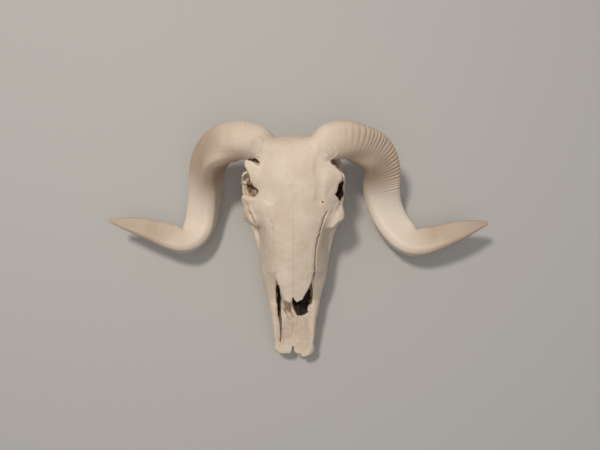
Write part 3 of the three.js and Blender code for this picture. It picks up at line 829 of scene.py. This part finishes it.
def skin(body, cutter):
    """Points and four-sided faces over the part of a body inside a cutter."""
    solid = np.maximum(body, cutter)
    filled = solid < 0
    spans = [np.flatnonzero(filled.any(axis=tuple({0, 1, 2} - {k}))) for k in range(3)]
    window = tuple(slice(max(s[0] - 1, 0), s[-1] + 2) for s in spans)
    solid, filled, body, cutter = (f[window] for f in (solid, filled, body, cutter))
    size = np.subtract(solid.shape, 1)
    count = np.zeros(size, dtype=np.int8)
    for i, j, k in CORNERS:
        count += filled[i : i + size[0], j : j + size[1], k : k + size[2]]
    active = (count > 0) & (count < 8)
    cells = np.argwhere(active)
    number = np.full(size, -1)
    number[active] = np.arange(len(cells))
    at = crossing_middles(cell_values(solid, cells))
    at = slid(at, cell_values(body, cells), cell_values(cutter, cells))
    corner = np.array([s.start for s in window])
    start = np.array([a[0] for a in axes])
    return start + (cells + at + corner) * GRAIN, quads_between(filled, number)


def mesh_object(name, points, faces, material):
    """A smooth-shaded mesh object from points in the skull's frame and faces of one size."""
    mesh = bpy.data.meshes.new(name)
    mesh.vertices.add(len(points))
    mesh.vertices.foreach_set("co", placed(points).astype(np.float32).ravel())
    corners = faces.shape[1]
    mesh.loops.add(faces.size)
    mesh.loops.foreach_set("vertex_index", faces.astype(np.int32).ravel())
    mesh.polygons.add(len(faces))
    mesh.polygons.foreach_set("loop_start", np.arange(0, faces.size, corners, dtype=np.int32))
    mesh.polygons.foreach_set("use_smooth", np.ones(len(faces), dtype=bool))
    mesh.update(calc_edges=True)
    mesh.materials.append(material)
    return new_object(name, mesh)


def vertex_normals(mesh):
    normals = np.empty(len(mesh.vertices) * 3, dtype=np.float32)
    mesh.vertex_normals.foreach_get("vector", normals)
    return normals.reshape(-1, 3)


def store(made, name, values):
    """Keeps one value for each vertex, for a material or a node tree to read."""
    made.data.attributes.new(name, "FLOAT", "POINT").data.foreach_set(
        "value", np.asarray(values, dtype=np.float32)
    )


# How far a place is shut in by bone: the share of bone in the block round it. The more shut in, the more
# painted shade the skull's colour gets there.
COARSE = 2
shut_in = np.clip(0.5 - bone[::COARSE, ::COARSE, ::COARSE] / (2 * GRAIN), 0, 1)
BLUR = round(4.5 / (GRAIN * COARSE))
for _ in range(2):
    for k in range(3):
        pad = [(BLUR + 1, BLUR) if j == k else (0, 0) for j in range(3)]
        total = np.cumsum(np.pad(shut_in, pad, mode="edge"), axis=k)
        ends = [slice(None)] * 3
        starts = [slice(None)] * 3
        ends[k], starts[k] = slice(2 * BLUR + 1, None), slice(0, -2 * BLUR - 1)
        shut_in = (total[tuple(ends)] - total[tuple(starts)]) / (2 * BLUR + 1)


def sample(field, points, step):
    """A field at any points, from its values at the corners of the cell round each."""
    at = (points - [a[0] for a in axes]) / step
    at = np.clip(at, 0, np.subtract(field.shape, 1.001))
    cells = at.astype(int)
    return within(cell_values(field, cells), at - cells)[0]


# Painted shade, with some old soil, is darkest deep in the nasal cavity and the orbits. Each dark patch has
# a middle, radii, a side, an amount, and the depth in from its edge at which it comes to that.
shade_and_stain_patches = [
    ((9, -92, 38), (15, 27, 26), 1, 1.0, 4),
    ((19, -88, 40), (5, 32, 26), -1, 1.0, 4),
    ((8, -100, 46), (13, 25, 16), -1, 0.75, 9),
    ((17, -130, 36), (3, 27, 9), -1, 0.8, 3),
    ((1.5, -168, 28), (6, 10, 12), -1, 0.74, 4),
    ((2, -142, 36), (28, 44, 14), 1, 0.61, 8),
    ((46, 46, 73), (16, 20, 18), -1, 0.86, 5),
    ((48, 42, 73), (15, 17, 15), 1, 1.0, 3),
    ((46, 73, 84), (13, 10, 28), 1, 0.93, 4),
    ((46, 75.5, 106), (10, 5, 8), -1, 0.95, 2),
]


def shade_and_stain_depth(points, normals):
    """How much painted shade and stain each point of the skull has, from 0 on its open faces to 1 in
    its depths. The dark patches have ragged edges, and stay off the underside of the palate."""
    shut = sample(shut_in, points + normals * 2.2, GRAIN * COARSE)
    under_palate = (points[:, 2] < 36) & (normals[:, 2] < -0.4)
    ragged = 2.2 * sample(pitting, points, GRAIN) + 1.2 * sample(chips, points, GRAIN)
    for centre, radii, side, amount, edge in shade_and_stain_patches:
        offsets = [points[:, k] * (side, 1, 1)[k] - centre[k] for k in range(3)]
        depth = ragged - oval(offsets, np.array(radii, float))
        shut = np.maximum(shut, amount * np.clip(depth / edge, 0, 1) * ~under_palate)
    # The sutures are stained as well, the open ones most.
    sutures = (sprung, 1, 0.95), (open_suture, -1, 0.95), (knitted, -1, 0.68), (midline, 1, 0.64)
    for crack, side, amount in sutures:
        there_and_back = crack + crack[-2:0:-1]
        off_crack = np.abs(inside_outline(there_and_back, points[:, 0] * side, points[:, 1]))
        in_crack = np.clip(1.5 - off_crack / 0.6, 0, 1) * (points[:, 2] > 60)
        shut = np.maximum(shut, amount * in_crack)
    return shut


def laid_over(tree, code, layers):
    """A colour with layers of other colours over it. A layer is a value that it follows, where
    along that value it starts and is full, how much it covers, and its colour."""
    colour = linear(code)
    for value, start, full, cover, layer_code in layers:
        steps = {"Value": value, "From Min": start, "From Max": full, "To Max": cover}
        share = add(tree, "ShaderNodeMapRange", steps)
        inputs = {0: share, 6: colour, 7: linear(layer_code)}
        colour = add(tree, "ShaderNodeMix", inputs, data_type="RGBA").outputs[2]
    return colour


# Weathered bone is chalky and matt: cream plates mottled with paler and browner patches, with
# painted shade in its hollows, brown and then near-black, partly old soil and tissue.
PATCH_MM, MOTTLE_MM, PORE_MM, FIBRE_MM = 28, 5, 1.6, 1.2
bleached_bone, tree = new_material("bleached bone")
place = add(tree, "ShaderNodeTexCoord").outputs["Object"]
blotches = add(tree, "ShaderNodeTexNoise", {"Vector": place, "Scale": 1000 / PATCH_MM, "Detail": 3.0})
mottle = add(tree, "ShaderNodeTexNoise", {"Vector": place, "Scale": 1000 / MOTTLE_MM, "Detail": 4.0})
hollow = add(tree, "ShaderNodeAttribute", attribute_name="hollow").outputs["Fac"]
bone_layers = [
    (blotches, 0.32, 0.7, 1.0, "#D3BFA9"),
    (mottle, 0.52, 0.75, 0.22, "#C2A68B"),
    # Painted shade, with some soil and the stained sutures: brown in the hollows, near-black deepest.
    (hollow, 0.56, 0.78, 0.9, "#96765A"),
    (hollow, 0.78, 0.98, 0.95, "#221710"),
]
bone_colour = laid_over(tree, "#E1D0BC", bone_layers)
along_fibres = add(tree, "ShaderNodeMapping", {"Vector": place, "Scale": (1.0, 0.12, 0.5)})
fibre_noise = {"Vector": along_fibres, "Scale": 1000 / FIBRE_MM, "Detail": 3.0}
fibres = add(tree, "ShaderNodeTexNoise", fibre_noise)
fibre_bump = add(tree, "ShaderNodeBump", {"Height": fibres, "Strength": 0.6, "Distance": 0.00018})
pores = add(tree, "ShaderNodeTexNoise", {"Vector": place, "Scale": 1000 / PORE_MM, "Detail": 2.0})
pore_bump = add(
    tree,
    "ShaderNodeBump",
    {"Height": pores, "Strength": 0.6, "Distance": 0.00025, "Normal": fibre_bump},
)
bone_shader = add(
    tree,
    "ShaderNodeBsdfPrincipled",
    {
        "Base Color": bone_colour,
        "Roughness": 0.78,
        "IOR": 1.5,
        "Specular IOR Level": 0.35,
        "Normal": pore_bump,
    },
)
add(tree, "ShaderNodeOutputMaterial", {"Surface": bone_shader})

left_of_middle = axes[0][:, None, None]
off_middle = np.abs(left_of_middle)
# Half of the gap that a suture leaves between two bones.
HAIRLINE = 0.02


def make_bone(name, cutter, sides):
    """Meshes one bone, or its left and right halves, and lets them stand for their nodes."""
    for side_name in sides:
        node = name if side_name is None else f"{name}_{side_name}"
        part = cutter
        if side_name is not None:
            part = np.maximum(cutter, HAIRLINE - left_of_middle * SIDES[side_name])
        points, faces = skin(bone, part)
        made = mesh_object(f"{node}_bone", points, faces, bleached_bone)
        made.data.set_sharp_from_angle(angle=np.radians(48))
        store(made, "hollow", shade_and_stain_depth(points, vertex_normals(made.data)))
        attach(made, "root")
        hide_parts(node)


PAIR = ("left", "right")
# The nasal bones are what lies under their arch and inside their edges.
arch = nasal_arch(axes[0][:, None], axes[1])[:, :, None].astype(np.float32)
half_x = np.where(axes[0][:, None] > 0, nasal_x[1](axes[1]), nasal_x[-1](axes[1]))
nasal = np.maximum(off_middle - half_x[:, :, None].astype(np.float32), arch - 6 - axes[2])
make_bone("nasal", nasal + HAIRLINE, PAIR)
taken = nasal

# Each outline, with the sides that it is cut on and how far out from the middle it starts.
outlines = {
    "premaxilla": (
        PAIR, 0,
        [(-180, -5), (-106, -5), (-101, 37), (-82, 47), (-68, 60), (-60, 76), (-64, 96), (-180, 96)],
    ),
    "lacrimal": (PAIR, 22, [(-10, 70), (-4, 99), (12, 101), (24, 96), (24, 70), (4, 67)]),
    "zygomatic": (
        PAIR, 36, [(-16, 46), (-14, 62), (4, 67), (24, 70), (46, 74), (76, 74), (70, 40), (0, 40)]
    ),
    "frontal": (PAIR, 0, [(-30, 140), (-2, 92), (8, 74), (86, 74), (92, 90), (95, 140)]),
    "maxilla": (
        PAIR, 0, [(-130, -5), (2, -5), (6, 40), (8, 74), (-2, 92), (-30, 140), (-130, 140)]
    ),
    "occipital": ((None,), 0, [
        (58, 10), (58, 40), (88, 44), (96, 62), (103, 76), (104, 95), (140, 95), (140, -5),
        (88, -5), (88, 12),
    ]),
    "parietal": ((None,), 0, [(60, 66), (140, 66), (140, 140), (60, 140)]),
    "temporal": (PAIR, 17, [(58, 15), (140, 15), (140, 70), (58, 70)]),
    "sphenoid": ((None,), 0, [(-180, -10), (140, -10), (140, 140), (-180, 140)]),
}
side_view = np.meshgrid(axes[1], axes[2], indexing="ij")
for name, (sides, inner, outline) in outlines.items():
    own = np.maximum(inside_outline(outline, *side_view)[None], inner - off_middle)
    make_bone(name, np.maximum(own, -taken) + HAIRLINE, sides)
    taken = np.minimum(taken, own)

# ---- Teeth --------------------------------------------------------------------------------------
# Six grinding teeth stand in each cheek, three small premolars and three two-lobed molars, each
# with sharp crescents of enamel round worn hollows. They are set along the jaw by a node tree.

tooth_row_x = line((-80, 28), (-45, 33), (-6, 34))
TOOTH_ROW_START = -80
CROWN_HEIGHT = 32
# Each tooth's length along the row and width across it.
teeth = {
    "premolars": (1, [(8, 8), (10, 10), (10.5, 12)]),
    "molars": (2, [(13, 14), (15.5, 15), (17, 14)]),
}
CROWN_SPOKES = 48
# Down the side and over the grinding face: the share of the full width and of the height.
CROWN_RINGS = [
    (0.95, 1.0), (1.0, 0.6), (1.05, 0.3), (1.06, 0.16), (1.0, 0.05), (0.93, 0.0), (0.86, 0.005),
    (0.74, 0.05), (0.55, 0.055), (0.45, 0.02), (0.38, 0.025), (0.2, 0.06),
]


def crown(lobes):
    """A tooth one unit long, wide and high, its root up and its grinding face at 0."""
    turn = np.linspace(0, 2 * np.pi, CROWN_SPOKES, endpoint=False)
    x, y = np.cos(turn), np.sin(turn)
    square = (np.abs(x) ** 3.2 + np.abs(y) ** 3.2) ** (-1 / 3.2)
    waist = 1 - 0.17 * (lobes == 2) * np.exp(-((y / 0.3) ** 2))
    ribs = 1 + 0.035 * np.cos(turn * 6) * (x > 0)
    outline = np.stack([x * square * waist * ribs, y * square], axis=1) / 2
    points = [(*(outline[k] * share), height) for share, height in CROWN_RINGS for k in range(CROWN_SPOKES)]
    points += [(0, 0, 1), (0, 0, 0.065)]
    faces = []
    last = len(CROWN_RINGS) - 1
    for k in range(CROWN_SPOKES):
        n = (k + 1) % CROWN_SPOKES
        for r in range(last):
            low, high = r * CROWN_SPOKES, (r + 1) * CROWN_SPOKES
            faces.append((low + n, low + k, high + k, high + n))
        faces.append((k, n, len(points) - 2))
        faces.append((last * CROWN_SPOKES + n, last * CROWN_SPOKES + k, len(points) - 1))
    mesh = bpy.data.meshes.new("crown")
    mesh.from_pydata(points, [], faces)
    mesh.polygons.foreach_set("use_smooth", [True] * len(faces))
    return bpy.data.objects.new("crown", mesh)


# Tooth enamel on a dry skull: glossy ivory, yellower and stained brown towards the root.
enamel, tree = new_material("worn tooth enamel")
place = add(tree, "ShaderNodeTexCoord").outputs["Object"]
height = add(tree, "ShaderNodeSeparateXYZ", {"Vector": place}).outputs["Z"]
stain = add(tree, "ShaderNodeTexNoise", {"Vector": place, "Scale": 620.0, "Detail": 4.0})
enamel_layers = [(stain, 0.45, 0.75, 0.4, "#A98C68"), (height, 0.006, 0.024, 1.0, "#B89B78")]
ivory = laid_over(tree, "#E3D6BC", enamel_layers)
enamel_bump = add(tree, "ShaderNodeBump", {"Height": stain, "Strength": 0.5, "Distance": 0.0003})
enamel_shader = add(
    tree,
    "ShaderNodeBsdfPrincipled",
    {"Base Color": ivory, "Roughness": 0.42, "IOR": 1.55, "Normal": enamel_bump},
)
add(tree, "ShaderNodeOutputMaterial", {"Surface": enamel_shader})


def new_node_tree(name, inputs):
    """A node tree that changes a geometry, and its inputs: the geometry and the named ones."""
    made = bpy.data.node_groups.new(name, "GeometryNodeTree")
    made.interface.new_socket("Geometry", in_out="INPUT", socket_type="NodeSocketGeometry")
    for socket, kind in inputs.items():
        made.interface.new_socket(socket, in_out="INPUT", socket_type=f"NodeSocket{kind}")
    made.interface.new_socket("Geometry", in_out="OUTPUT", socket_type="NodeSocketGeometry")
    return made, add(made, "NodeGroupInput").outputs


# It sets a crown on each point, as long, wide and high as the point says.
row_tree, given = new_node_tree("tooth row", {"Crown": "Object", "Enamel": "Material"})
crown_info = add(row_tree, "GeometryNodeObjectInfo", {"Object": given["Crown"]})
tooth_size = add(
    row_tree, "GeometryNodeInputNamedAttribute", {"Name": "tooth_size"}, data_type="FLOAT_VECTOR"
)
set_teeth = add(
    row_tree,
    "GeometryNodeInstanceOnPoints",
    {"Points": given["Geometry"], "Instance": crown_info.outputs["Geometry"], "Scale": tooth_size},
)
realised = add(row_tree, "GeometryNodeRealizeInstances", {"Geometry": set_teeth})
coated = add(
    row_tree, "GeometryNodeSetMaterial", {"Geometry": realised, "Material": given["Enamel"]}
)
add(row_tree, "NodeGroupOutput", {"Geometry": coated})


def run_tree(made, node_tree, values):
    """Runs a node tree on an object with values for its named inputs, and keeps the result
    as the object's own mesh."""
    modifier = made.modifiers.new(node_tree.name, "NODES")
    modifier.node_group = node_tree
    for item in node_tree.interface.items_tree:
        if item.in_out == "INPUT" and item.name in values:
            modifier[item.identifier] = values[item.name]
    made.update_tag()
    bpy.context.view_layer.update()
    evaluated = made.evaluated_get(bpy.context.evaluated_depsgraph_get())
    result = bpy.data.meshes.new_from_object(evaluated)
    result.name = made.name
    made.modifiers.clear()
    made.data = result


for side_name, side in SIDES.items():
    row_y = TOOTH_ROW_START
    for kind, (lobes, sizes) in teeth.items():
        places = []
        for length, width in sizes:
            y = row_y + length / 2
            places.append((tooth_row_x(y) * side, y, 0.2))
            row_y += length
        row = bpy.data.meshes.new(f"{kind}_{side_name}")
        row.from_pydata([tuple(p) for p in placed(places)], [], [])
        full = [(width * side * MM, length * 0.97 * MM, CROWN_HEIGHT * MM) for length, width in sizes]
        row.attributes.new("tooth_size", "FLOAT_VECTOR", "POINT").data.foreach_set(
            "vector", np.array(full).ravel()
        )
        made = new_object(f"{kind}_{side_name}", row)
        run_tree(made, row_tree, {"Crown": crown(lobes), "Enamel": enamel})
        if side == -1:
            made.data.flip_normals()
        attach(made, "root")
        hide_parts(f"maxilla_{side_name}")

# ---- Horns --------------------------------------------------------------------------------------
# Each horn is a sheath of keratin, three-sided with rounded keels, grown in yearly waves that
# show as low rings from its root on. It is swept along its course, and a node tree sinks the
# furrows between the rings.

HORN_SPOKES = 72
# The way that the front keel faces at each knot of the horn's course, x counted outwards.
keel_ways = {
    "left": [
        (0, 0.4, 0.92), (0, 0.4, 0.92), (0.05, 0.45, 0.9), (0.76, 0.52, 0.38), (0.94, -0.02, 0.34),
        (0.9, -0.1, 0.36), (0.93, 0.27, 0.22), (0.78, 0.63, -0.01), (0.25, 0.96, -0.1),
        (-0.31, 0.96, -0.03), (-0.31, 0.96, -0.03), (-0.31, 0.96, -0.03),
    ],
    "right": [
        (0, 0.4, 0.92), (0, 0.5, 0.85), (0.1, 0.75, 0.65), (0.55, 0.83, -0.02), (0.87, 0.45, -0.1),
        (0.95, 0.25, -0.1), (0.93, 0.3, 0), (0.78, 0.63, -0.01), (0.25, 0.96, -0.1),
        (-0.31, 0.96, -0.03), (-0.31, 0.96, -0.03), (-0.31, 0.96, -0.03),
    ],
}
# Shares of its radius that a horn's flat faces and its rounded keels stand from its middle, how
# crisp the keels are, and the share that the front one adds.
FACE_REACH = np.array((0.8, 0.86, 0.88))
KEEL_REACH = 1.17
KEEL_SHARPNESS = 20
FRONT_KEEL = 0.05
# It is round at its root, like the stem, and three-sided from a way along.
ROUND_LENGTH, FLATTENING_LENGTH = 14, 50
# It fits the stem over the first of these lengths, and loses that fit by the second.
FIT_LENGTH, FLUSH_LENGTH = 8, 20
# Past this length its keels are worn round where they pass the inside of a bend.
UNWORN_LENGTH = 30
# No point reaches further in than this share of the way to the middle of a bend.
TIGHTEST_BEND = 0.6


def unit(vectors):
    return vectors / np.linalg.norm(vectors, axis=-1, keepdims=True)


def horn_frame(name):
    """How far along a horn each ring is, and its ways ahead, to the front keel and across."""
    places = horn_paths[name][:, :3]
    ahead = unit(np.gradient(places, axis=0))
    along = np.concatenate([[0], np.cumsum(np.linalg.norm(np.diff(places, axis=0), axis=1))])
    knots = np.array(horn_courses[name], dtype=float)[:, :3]
    nearest = np.linalg.norm(places[:, None] - knots, axis=2).argmin(axis=0)
    knot_along = along[nearest] + np.arange(len(knots)) * 1e-3
    ways = [np.interp(along, knot_along, values) for values in np.array(keel_ways[name]).T]
    keel = smoothed(np.stack(ways, axis=1), 60)
    keel = unit(keel - ahead * (keel * ahead).sum(axis=1)[:, None])
    return along, ahead, keel, np.cross(ahead, keel)


def keeled_outline(angle):
    """How far a horn's outline stands out at each angle, as a share of its radius."""
    off_keel = (angle + np.pi) % (2 * np.pi) - np.pi
    facing = np.clip(np.cos(angle[:, None] - np.radians((60, 180, 300))), 0, None) / FACE_REACH
    limits = (facing**KEEL_SHARPNESS).sum(axis=1) + KEEL_REACH**-KEEL_SHARPNESS
    return limits ** (-1 / KEEL_SHARPNESS) + FRONT_KEEL * np.exp(-((off_keel / 0.2) ** 2))


def fit_to_stem(name, reach, way, along):
    """Lays the sheath, near its root, on the skin that it shares with the stem."""
    rooted = along < FLUSH_LENGTH
    places, radii = horn_paths[name][rooted, :3], horn_paths[name][rooted, 3]
    tries = np.linspace(0.92, 1.1, 24)
    outwards = way[rooted][:, :, None] * (radii[:, None, None] * tries)[..., None]
    probes = places[:, None, None] + outwards
    depth = sample(flush, (probes * (SIDES[name], 1, 1)).reshape(-1, 3), GRAIN)
    outside = depth.reshape(probes.shape[:3]) > 0
    first = outside.argmax(axis=2)
    found = outside.any(axis=2) & (first > 0)
    lift = np.where(found, radii[:, None] * tries[first] - reach[rooted], 0)
    for _ in range(12):
        lift = (np.roll(lift, 1, axis=1) + 2 * lift + np.roll(lift, -1, axis=1)) / 4
        lift[1:-1] = (lift[:-2] + 2 * lift[1:-1] + lift[2:]) / 4
    fit = ease(np.clip(1 - (along[rooted] - FIT_LENGTH) / (FLUSH_LENGTH - FIT_LENGTH), 0, 1))
    reach[rooted] += lift * fit[:, None]


def horn_shape(name):
    """A horn's rings of points, how far along each ring is, and each point's angle round it."""
    places, radii = horn_paths[name][:, :3], horn_paths[name][:, 3]
    along, ahead, keel, across = horn_frame(name)
    angle = np.linspace(0, 2 * np.pi, HORN_SPOKES, endpoint=False)
    way = keel[:, None] * np.cos(angle)[:, None] + across[:, None] * np.sin(angle)[:, None]
    flatness = ease(np.clip((along - ROUND_LENGTH) / FLATTENING_LENGTH, 0, 1))[:, None]
    reach = radii[:, None] * (1 + (keeled_outline(angle) - 1) * flatness)
    # On the inside of a tight bend it is pressed flat, and doesn't fold over itself.
    bend = smoothed(np.gradient(ahead, axis=0) / np.gradient(along)[:, None], 300)
    folded = np.clip((way * bend[:, None]).sum(axis=2) * reach / TIGHTEST_BEND, 0, None)
    reach /= (1 + folded**6) ** (1 / 6)
    fit_to_stem(name, reach, way, along)
    points = places[:, None] + way * reach[:, :, None]
    worn = smoothed(points.copy(), 120)
    wear = np.clip((along - UNWORN_LENGTH) / UNWORN_LENGTH, 0, 1)
    points += (worn - points) * wear[:, None, None]
    points[:, :, 2] = np.maximum(points[:, :, 2], GROUND)
    return points * (SIDES[name], 1, 1), along, angle


# Horn that has dried and bleached: grey-brown keratin, matt, streaked round with growth lines
# and along with fibres, and darker in the furrows between its rings, partly their brown and partly
# painted shade. It is as pale as the bone at its root, greys towards its tip, and has a brown patch,
# painted shade on the faces that turn down and forward, and a bleached middle stretch.
GROWTH_LINE_MM, STREAK_DEGREES, STREAK_MM = 1.4, 7, 30.0
PALE_ROOT_MM, ROOTED_MM, GREYING_MM, TIP_MM = 6.0, 24, 225.0, 320
dry_horn, tree = new_material("dry bleached horn")
along, turn, furrow, patch, bleach = [
    add(tree, "ShaderNodeAttribute", attribute_name=name).outputs["Fac"]
    for name in ("along", "around", "furrow", "patch", "bleach")
]
place = add(tree, "ShaderNodeTexCoord").outputs["Object"]
sway = add(tree, "ShaderNodeTexNoise", {"Vector": place, "Scale": 60.0, "Detail": 2.0})
swayed = add(tree, "ShaderNodeMath", {0: sway, 1: 6.0, 2: along}, operation="MULTIPLY_ADD")
in_lines = add(tree, "ShaderNodeMath", {0: swayed, 1: GROWTH_LINE_MM}, operation="DIVIDE")
growth = add(
    tree, "ShaderNodeTexNoise", {"W": in_lines, "Scale": 1.0, "Detail": 3.0}, noise_dimensions="1D"
)
streak_turn = add(tree, "ShaderNodeMath", {0: turn, 1: STREAK_DEGREES}, operation="DIVIDE")
streak_along = add(tree, "ShaderNodeMath", {0: along, 1: STREAK_MM}, operation="DIVIDE")
streak_place = add(tree, "ShaderNodeCombineXYZ", {"X": streak_turn, "Y": streak_along})
streaks = add(tree, "ShaderNodeTexNoise", {"Vector": streak_place, "Scale": 1.0, "Detail": 3.0})
broad = add(tree, "ShaderNodeTexNoise", {"Vector": place, "Scale": 30.0, "Detail": 3.0})
horn_layers = [
    (broad, 0.35, 0.68, 1.0, "#C6B099"),
    (growth, 0.45, 0.75, 0.16, "#A98D72"),
    (streaks, 0.5, 0.75, 0.15, "#A98D72"),
    # Darker in the furrows between the rings: partly their brown, partly painted shade.
    (furrow, 0.0, 1.0, 0.28, "#8F7358"),
    (along, GREYING_MM, TIP_MM, 0.85, "#AA9783"),
    (along, ROOTED_MM, PALE_ROOT_MM, 1.0, "#DECCB8"),
    # The brown patches, and painted shade on the faces that turn down and forward.
    (patch, 0.0, 1.0, 1.0, "#9A7C60"),
    (bleach, 0.0, 1.0, 1.0, "#EADBC9"),
]
horn_colour = laid_over(tree, "#D4C0AB", horn_layers)
growth_bump = add(tree, "ShaderNodeBump", {"Height": growth, "Strength": 0.5, "Distance": 0.00015})
streak_bump = add(
    tree,
    "ShaderNodeBump",
    {"Height": streaks, "Strength": 0.6, "Distance": 0.0003, "Normal": growth_bump},
)
horn_shader = add(
    tree,
    "ShaderNodeBsdfPrincipled",
    {
        "Base Color": horn_colour,
        "Roughness": 0.66,
        "IOR": 1.54,
        "Specular IOR Level": 0.4,
        "Normal": streak_bump,
    },
)
add(tree, "ShaderNodeOutputMaterial", {"Surface": horn_shader})

# It sinks furrows into the sheath, unevenly spaced, as deep as the growth at each point says.
ring_inputs = dict.fromkeys(("Ring spacing mm", "Ring height mm", "Unevenness", "Seed"), "Float")
ring_tree, given = new_node_tree("growth rings", {**ring_inputs, "Horn": "Material"})
along, growth = [
    add(ring_tree, "GeometryNodeInputNamedAttribute", {"Name": name}, data_type="FLOAT")
    for name in ("along", "growth")
]
years = add(ring_tree, "ShaderNodeMath", {0: along, 1: given["Ring spacing mm"]}, operation="DIVIDE")
seeded = add(ring_tree, "ShaderNodeMath", {0: years, 1: given["Seed"]}, operation="ADD")
drift = add(
    ring_tree, "ShaderNodeTexNoise", {"W": seeded, "Scale": 0.45, "Detail": 1.0}, noise_dimensions="1D"
)
phase_sum = {0: drift, 1: given["Unevenness"], 2: years}
phase = add(ring_tree, "ShaderNodeMath", phase_sum, operation="MULTIPLY_ADD")
half_turns = add(ring_tree, "ShaderNodeMath", {0: phase, 1: np.pi}, operation="MULTIPLY")
wave = add(ring_tree, "ShaderNodeMath", {0: half_turns}, operation="SINE")
swell = add(ring_tree, "ShaderNodeMath", {0: wave}, operation="ABSOLUTE")
grown = add(ring_tree, "ShaderNodeMath", {0: swell, 1: growth}, operation="MULTIPLY")
furrow = add(ring_tree, "ShaderNodeMath", {0: growth, 1: grown}, operation="SUBTRACT")
depth = add(ring_tree, "ShaderNodeMath", {0: furrow, 1: given["Ring height mm"]}, operation="MULTIPLY")
inwards = add(ring_tree, "ShaderNodeMath", {0: depth, 1: -MM}, operation="MULTIPLY")
outward = add(ring_tree, "GeometryNodeInputNormal")
offset = add(
    ring_tree, "ShaderNodeVectorMath", {"Vector": outward, "Scale": inwards}, operation="SCALE"
)
moved = add(ring_tree, "GeometryNodeSetPosition", {"Geometry": given["Geometry"], "Offset": offset})
kept = add(
    ring_tree,
    "GeometryNodeStoreNamedAttribute",
    {"Geometry": moved, "Name": "furrow", "Value": furrow},
    data_type="FLOAT",
    domain="POINT",
)
whole = add(ring_tree, "GeometryNodeRealizeInstances", {"Geometry": kept})
sheathed = add(ring_tree, "GeometryNodeSetMaterial", {"Geometry": whole, "Material": given["Horn"]})
add(ring_tree, "NodeGroupOutput", {"Geometry": sheathed})

RING_SPACING = 4.4
RING_HEIGHT = 1.3
RINGED_LENGTH = 155
# How many degrees past the front keel they stand highest.
RINGS_FACE = 12
# The rings are clear on the left horn and nearly worn off on the right one.
ring_shares = {"left": 1.0, "right": 0.2}
# Brown patches: how far along and at what angle, their half sizes and how brown they are.
brown_patches = {"left": (38, 62, 42, 66, 0.24), "right": (85, 20, 45, 80, 0.38)}
# How much painted shade the faces get that turn down and forward, past the root, and how far its middle is
# bleached.
DOWNWARD_PAINTED_SHADE = 0.5
CLEAN_ROOT = 30
bleaching = {"left": 0.95, "right": 0.65}

for name, side in SIDES.items():
    points, along_mm, angle = horn_shape(name)
    rings = len(along_mm)
    grid = np.arange(rings * HORN_SPOKES).reshape(rings, HORN_SPOKES)
    after = np.roll(grid, -1, axis=1)
    walls = np.stack([grid[:-1], after[:-1], after[1:], grid[1:]], axis=-1).reshape(-1, 4)
    root_middle, tip_middle = grid.size, grid.size + 1
    root_cap = np.stack([after[0], grid[0], np.full(HORN_SPOKES, root_middle)], axis=1)
    tip_cap = np.stack([grid[-1], after[-1], np.full(HORN_SPOKES, tip_middle)], axis=1)
    ends = [horn_paths[name][0, :3] * (side, 1, 1), horn_paths[name][-1, :3] * (side, 1, 1)]
    ends[1] = ends[1] + (points[-1].mean(axis=0) - points[-2].mean(axis=0)) * 2
    vertices = np.concatenate([points.reshape(-1, 3), ends])
    faces = [tuple(f) for group in (walls, root_cap, tip_cap) for f in group.tolist()]
    if side == -1:
        faces = [f[::-1] for f in faces]
    mesh = bpy.data.meshes.new(f"horn_{name}_sheath")
    mesh.from_pydata([tuple(p) for p in placed(vertices)], [], faces)
    mesh.polygons.foreach_set("use_smooth", [True] * len(faces))
    made = new_object(f"horn_{name}_sheath", mesh)

    # The rings stand highest by the front keel, and fade round the horn and towards its tip.
    degrees = np.degrees(angle)
    from_keel = (degrees - RINGS_FACE + 180) % 360 - 180
    round_share = 0.1 + 0.6 * np.exp(-((from_keel / 22) ** 2))
    round_share += 0.25 * np.exp(-((from_keel / 50) ** 2))
    length_share = np.interp(along_mm, (10, 30, 120, RINGED_LENGTH, 400), (0, 1, 1, 0.25, 0.1))
    patch_along, patch_angle, half_length, half_angle, brown = brown_patches[name]
    patch = np.exp(-(((along_mm - patch_along) / half_length) ** 4))[:, None]
    patch = patch * np.exp(-(((degrees - patch_angle) / half_angle) ** 6))
    patch = brown * patch * np.clip((along_mm - 3) / 5, 0, 1)[:, None]
    # Faces that turn down and forward get painted shade, less of it towards the root.
    turned_down = vertex_normals(mesh)[:-2] @ (0, -0.9, -0.35)
    painted_shade_below = DOWNWARD_PAINTED_SHADE * np.clip((turned_down + 0.05) / 0.5, 0, 1)
    painted_shade_below = painted_shade_below.reshape(grid.shape) * np.clip(along_mm / CLEAN_ROOT, 0, 1)[:, None]
    bleach = bleaching[name] * np.interp(along_mm, (90, 140, 200, 250), (0, 1, 1, 0))
    # Each one over the sheath's rings and spokes, and at the middles of its two ends.
    for attribute, values, end_values in (
        ("along", along_mm[:, None], (0, along_mm[-1])),
        ("around", np.minimum(degrees, 360 - degrees), (0, 0)),
        ("growth", length_share[:, None] * round_share * ring_shares[name], (0, 0)),
        ("patch", np.maximum(patch, painted_shade_below), (0, 0)),
        ("bleach", bleach[:, None], (0, 0)),
    ):
        store(made, attribute, np.append(np.broadcast_to(values, grid.shape), end_values))
    ring_values = {
        "Ring spacing mm": RING_SPACING,
        "Ring height mm": RING_HEIGHT,
        "Unevenness": 0.8,
        "Seed": 3.0 + side,
        "Horn": dry_horn,
    }
    run_tree(made, ring_tree, ring_values)
    made.data.set_sharp_from_angle(angle=np.radians(60))
    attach(made, "root")
    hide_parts(f"horn_{name}")
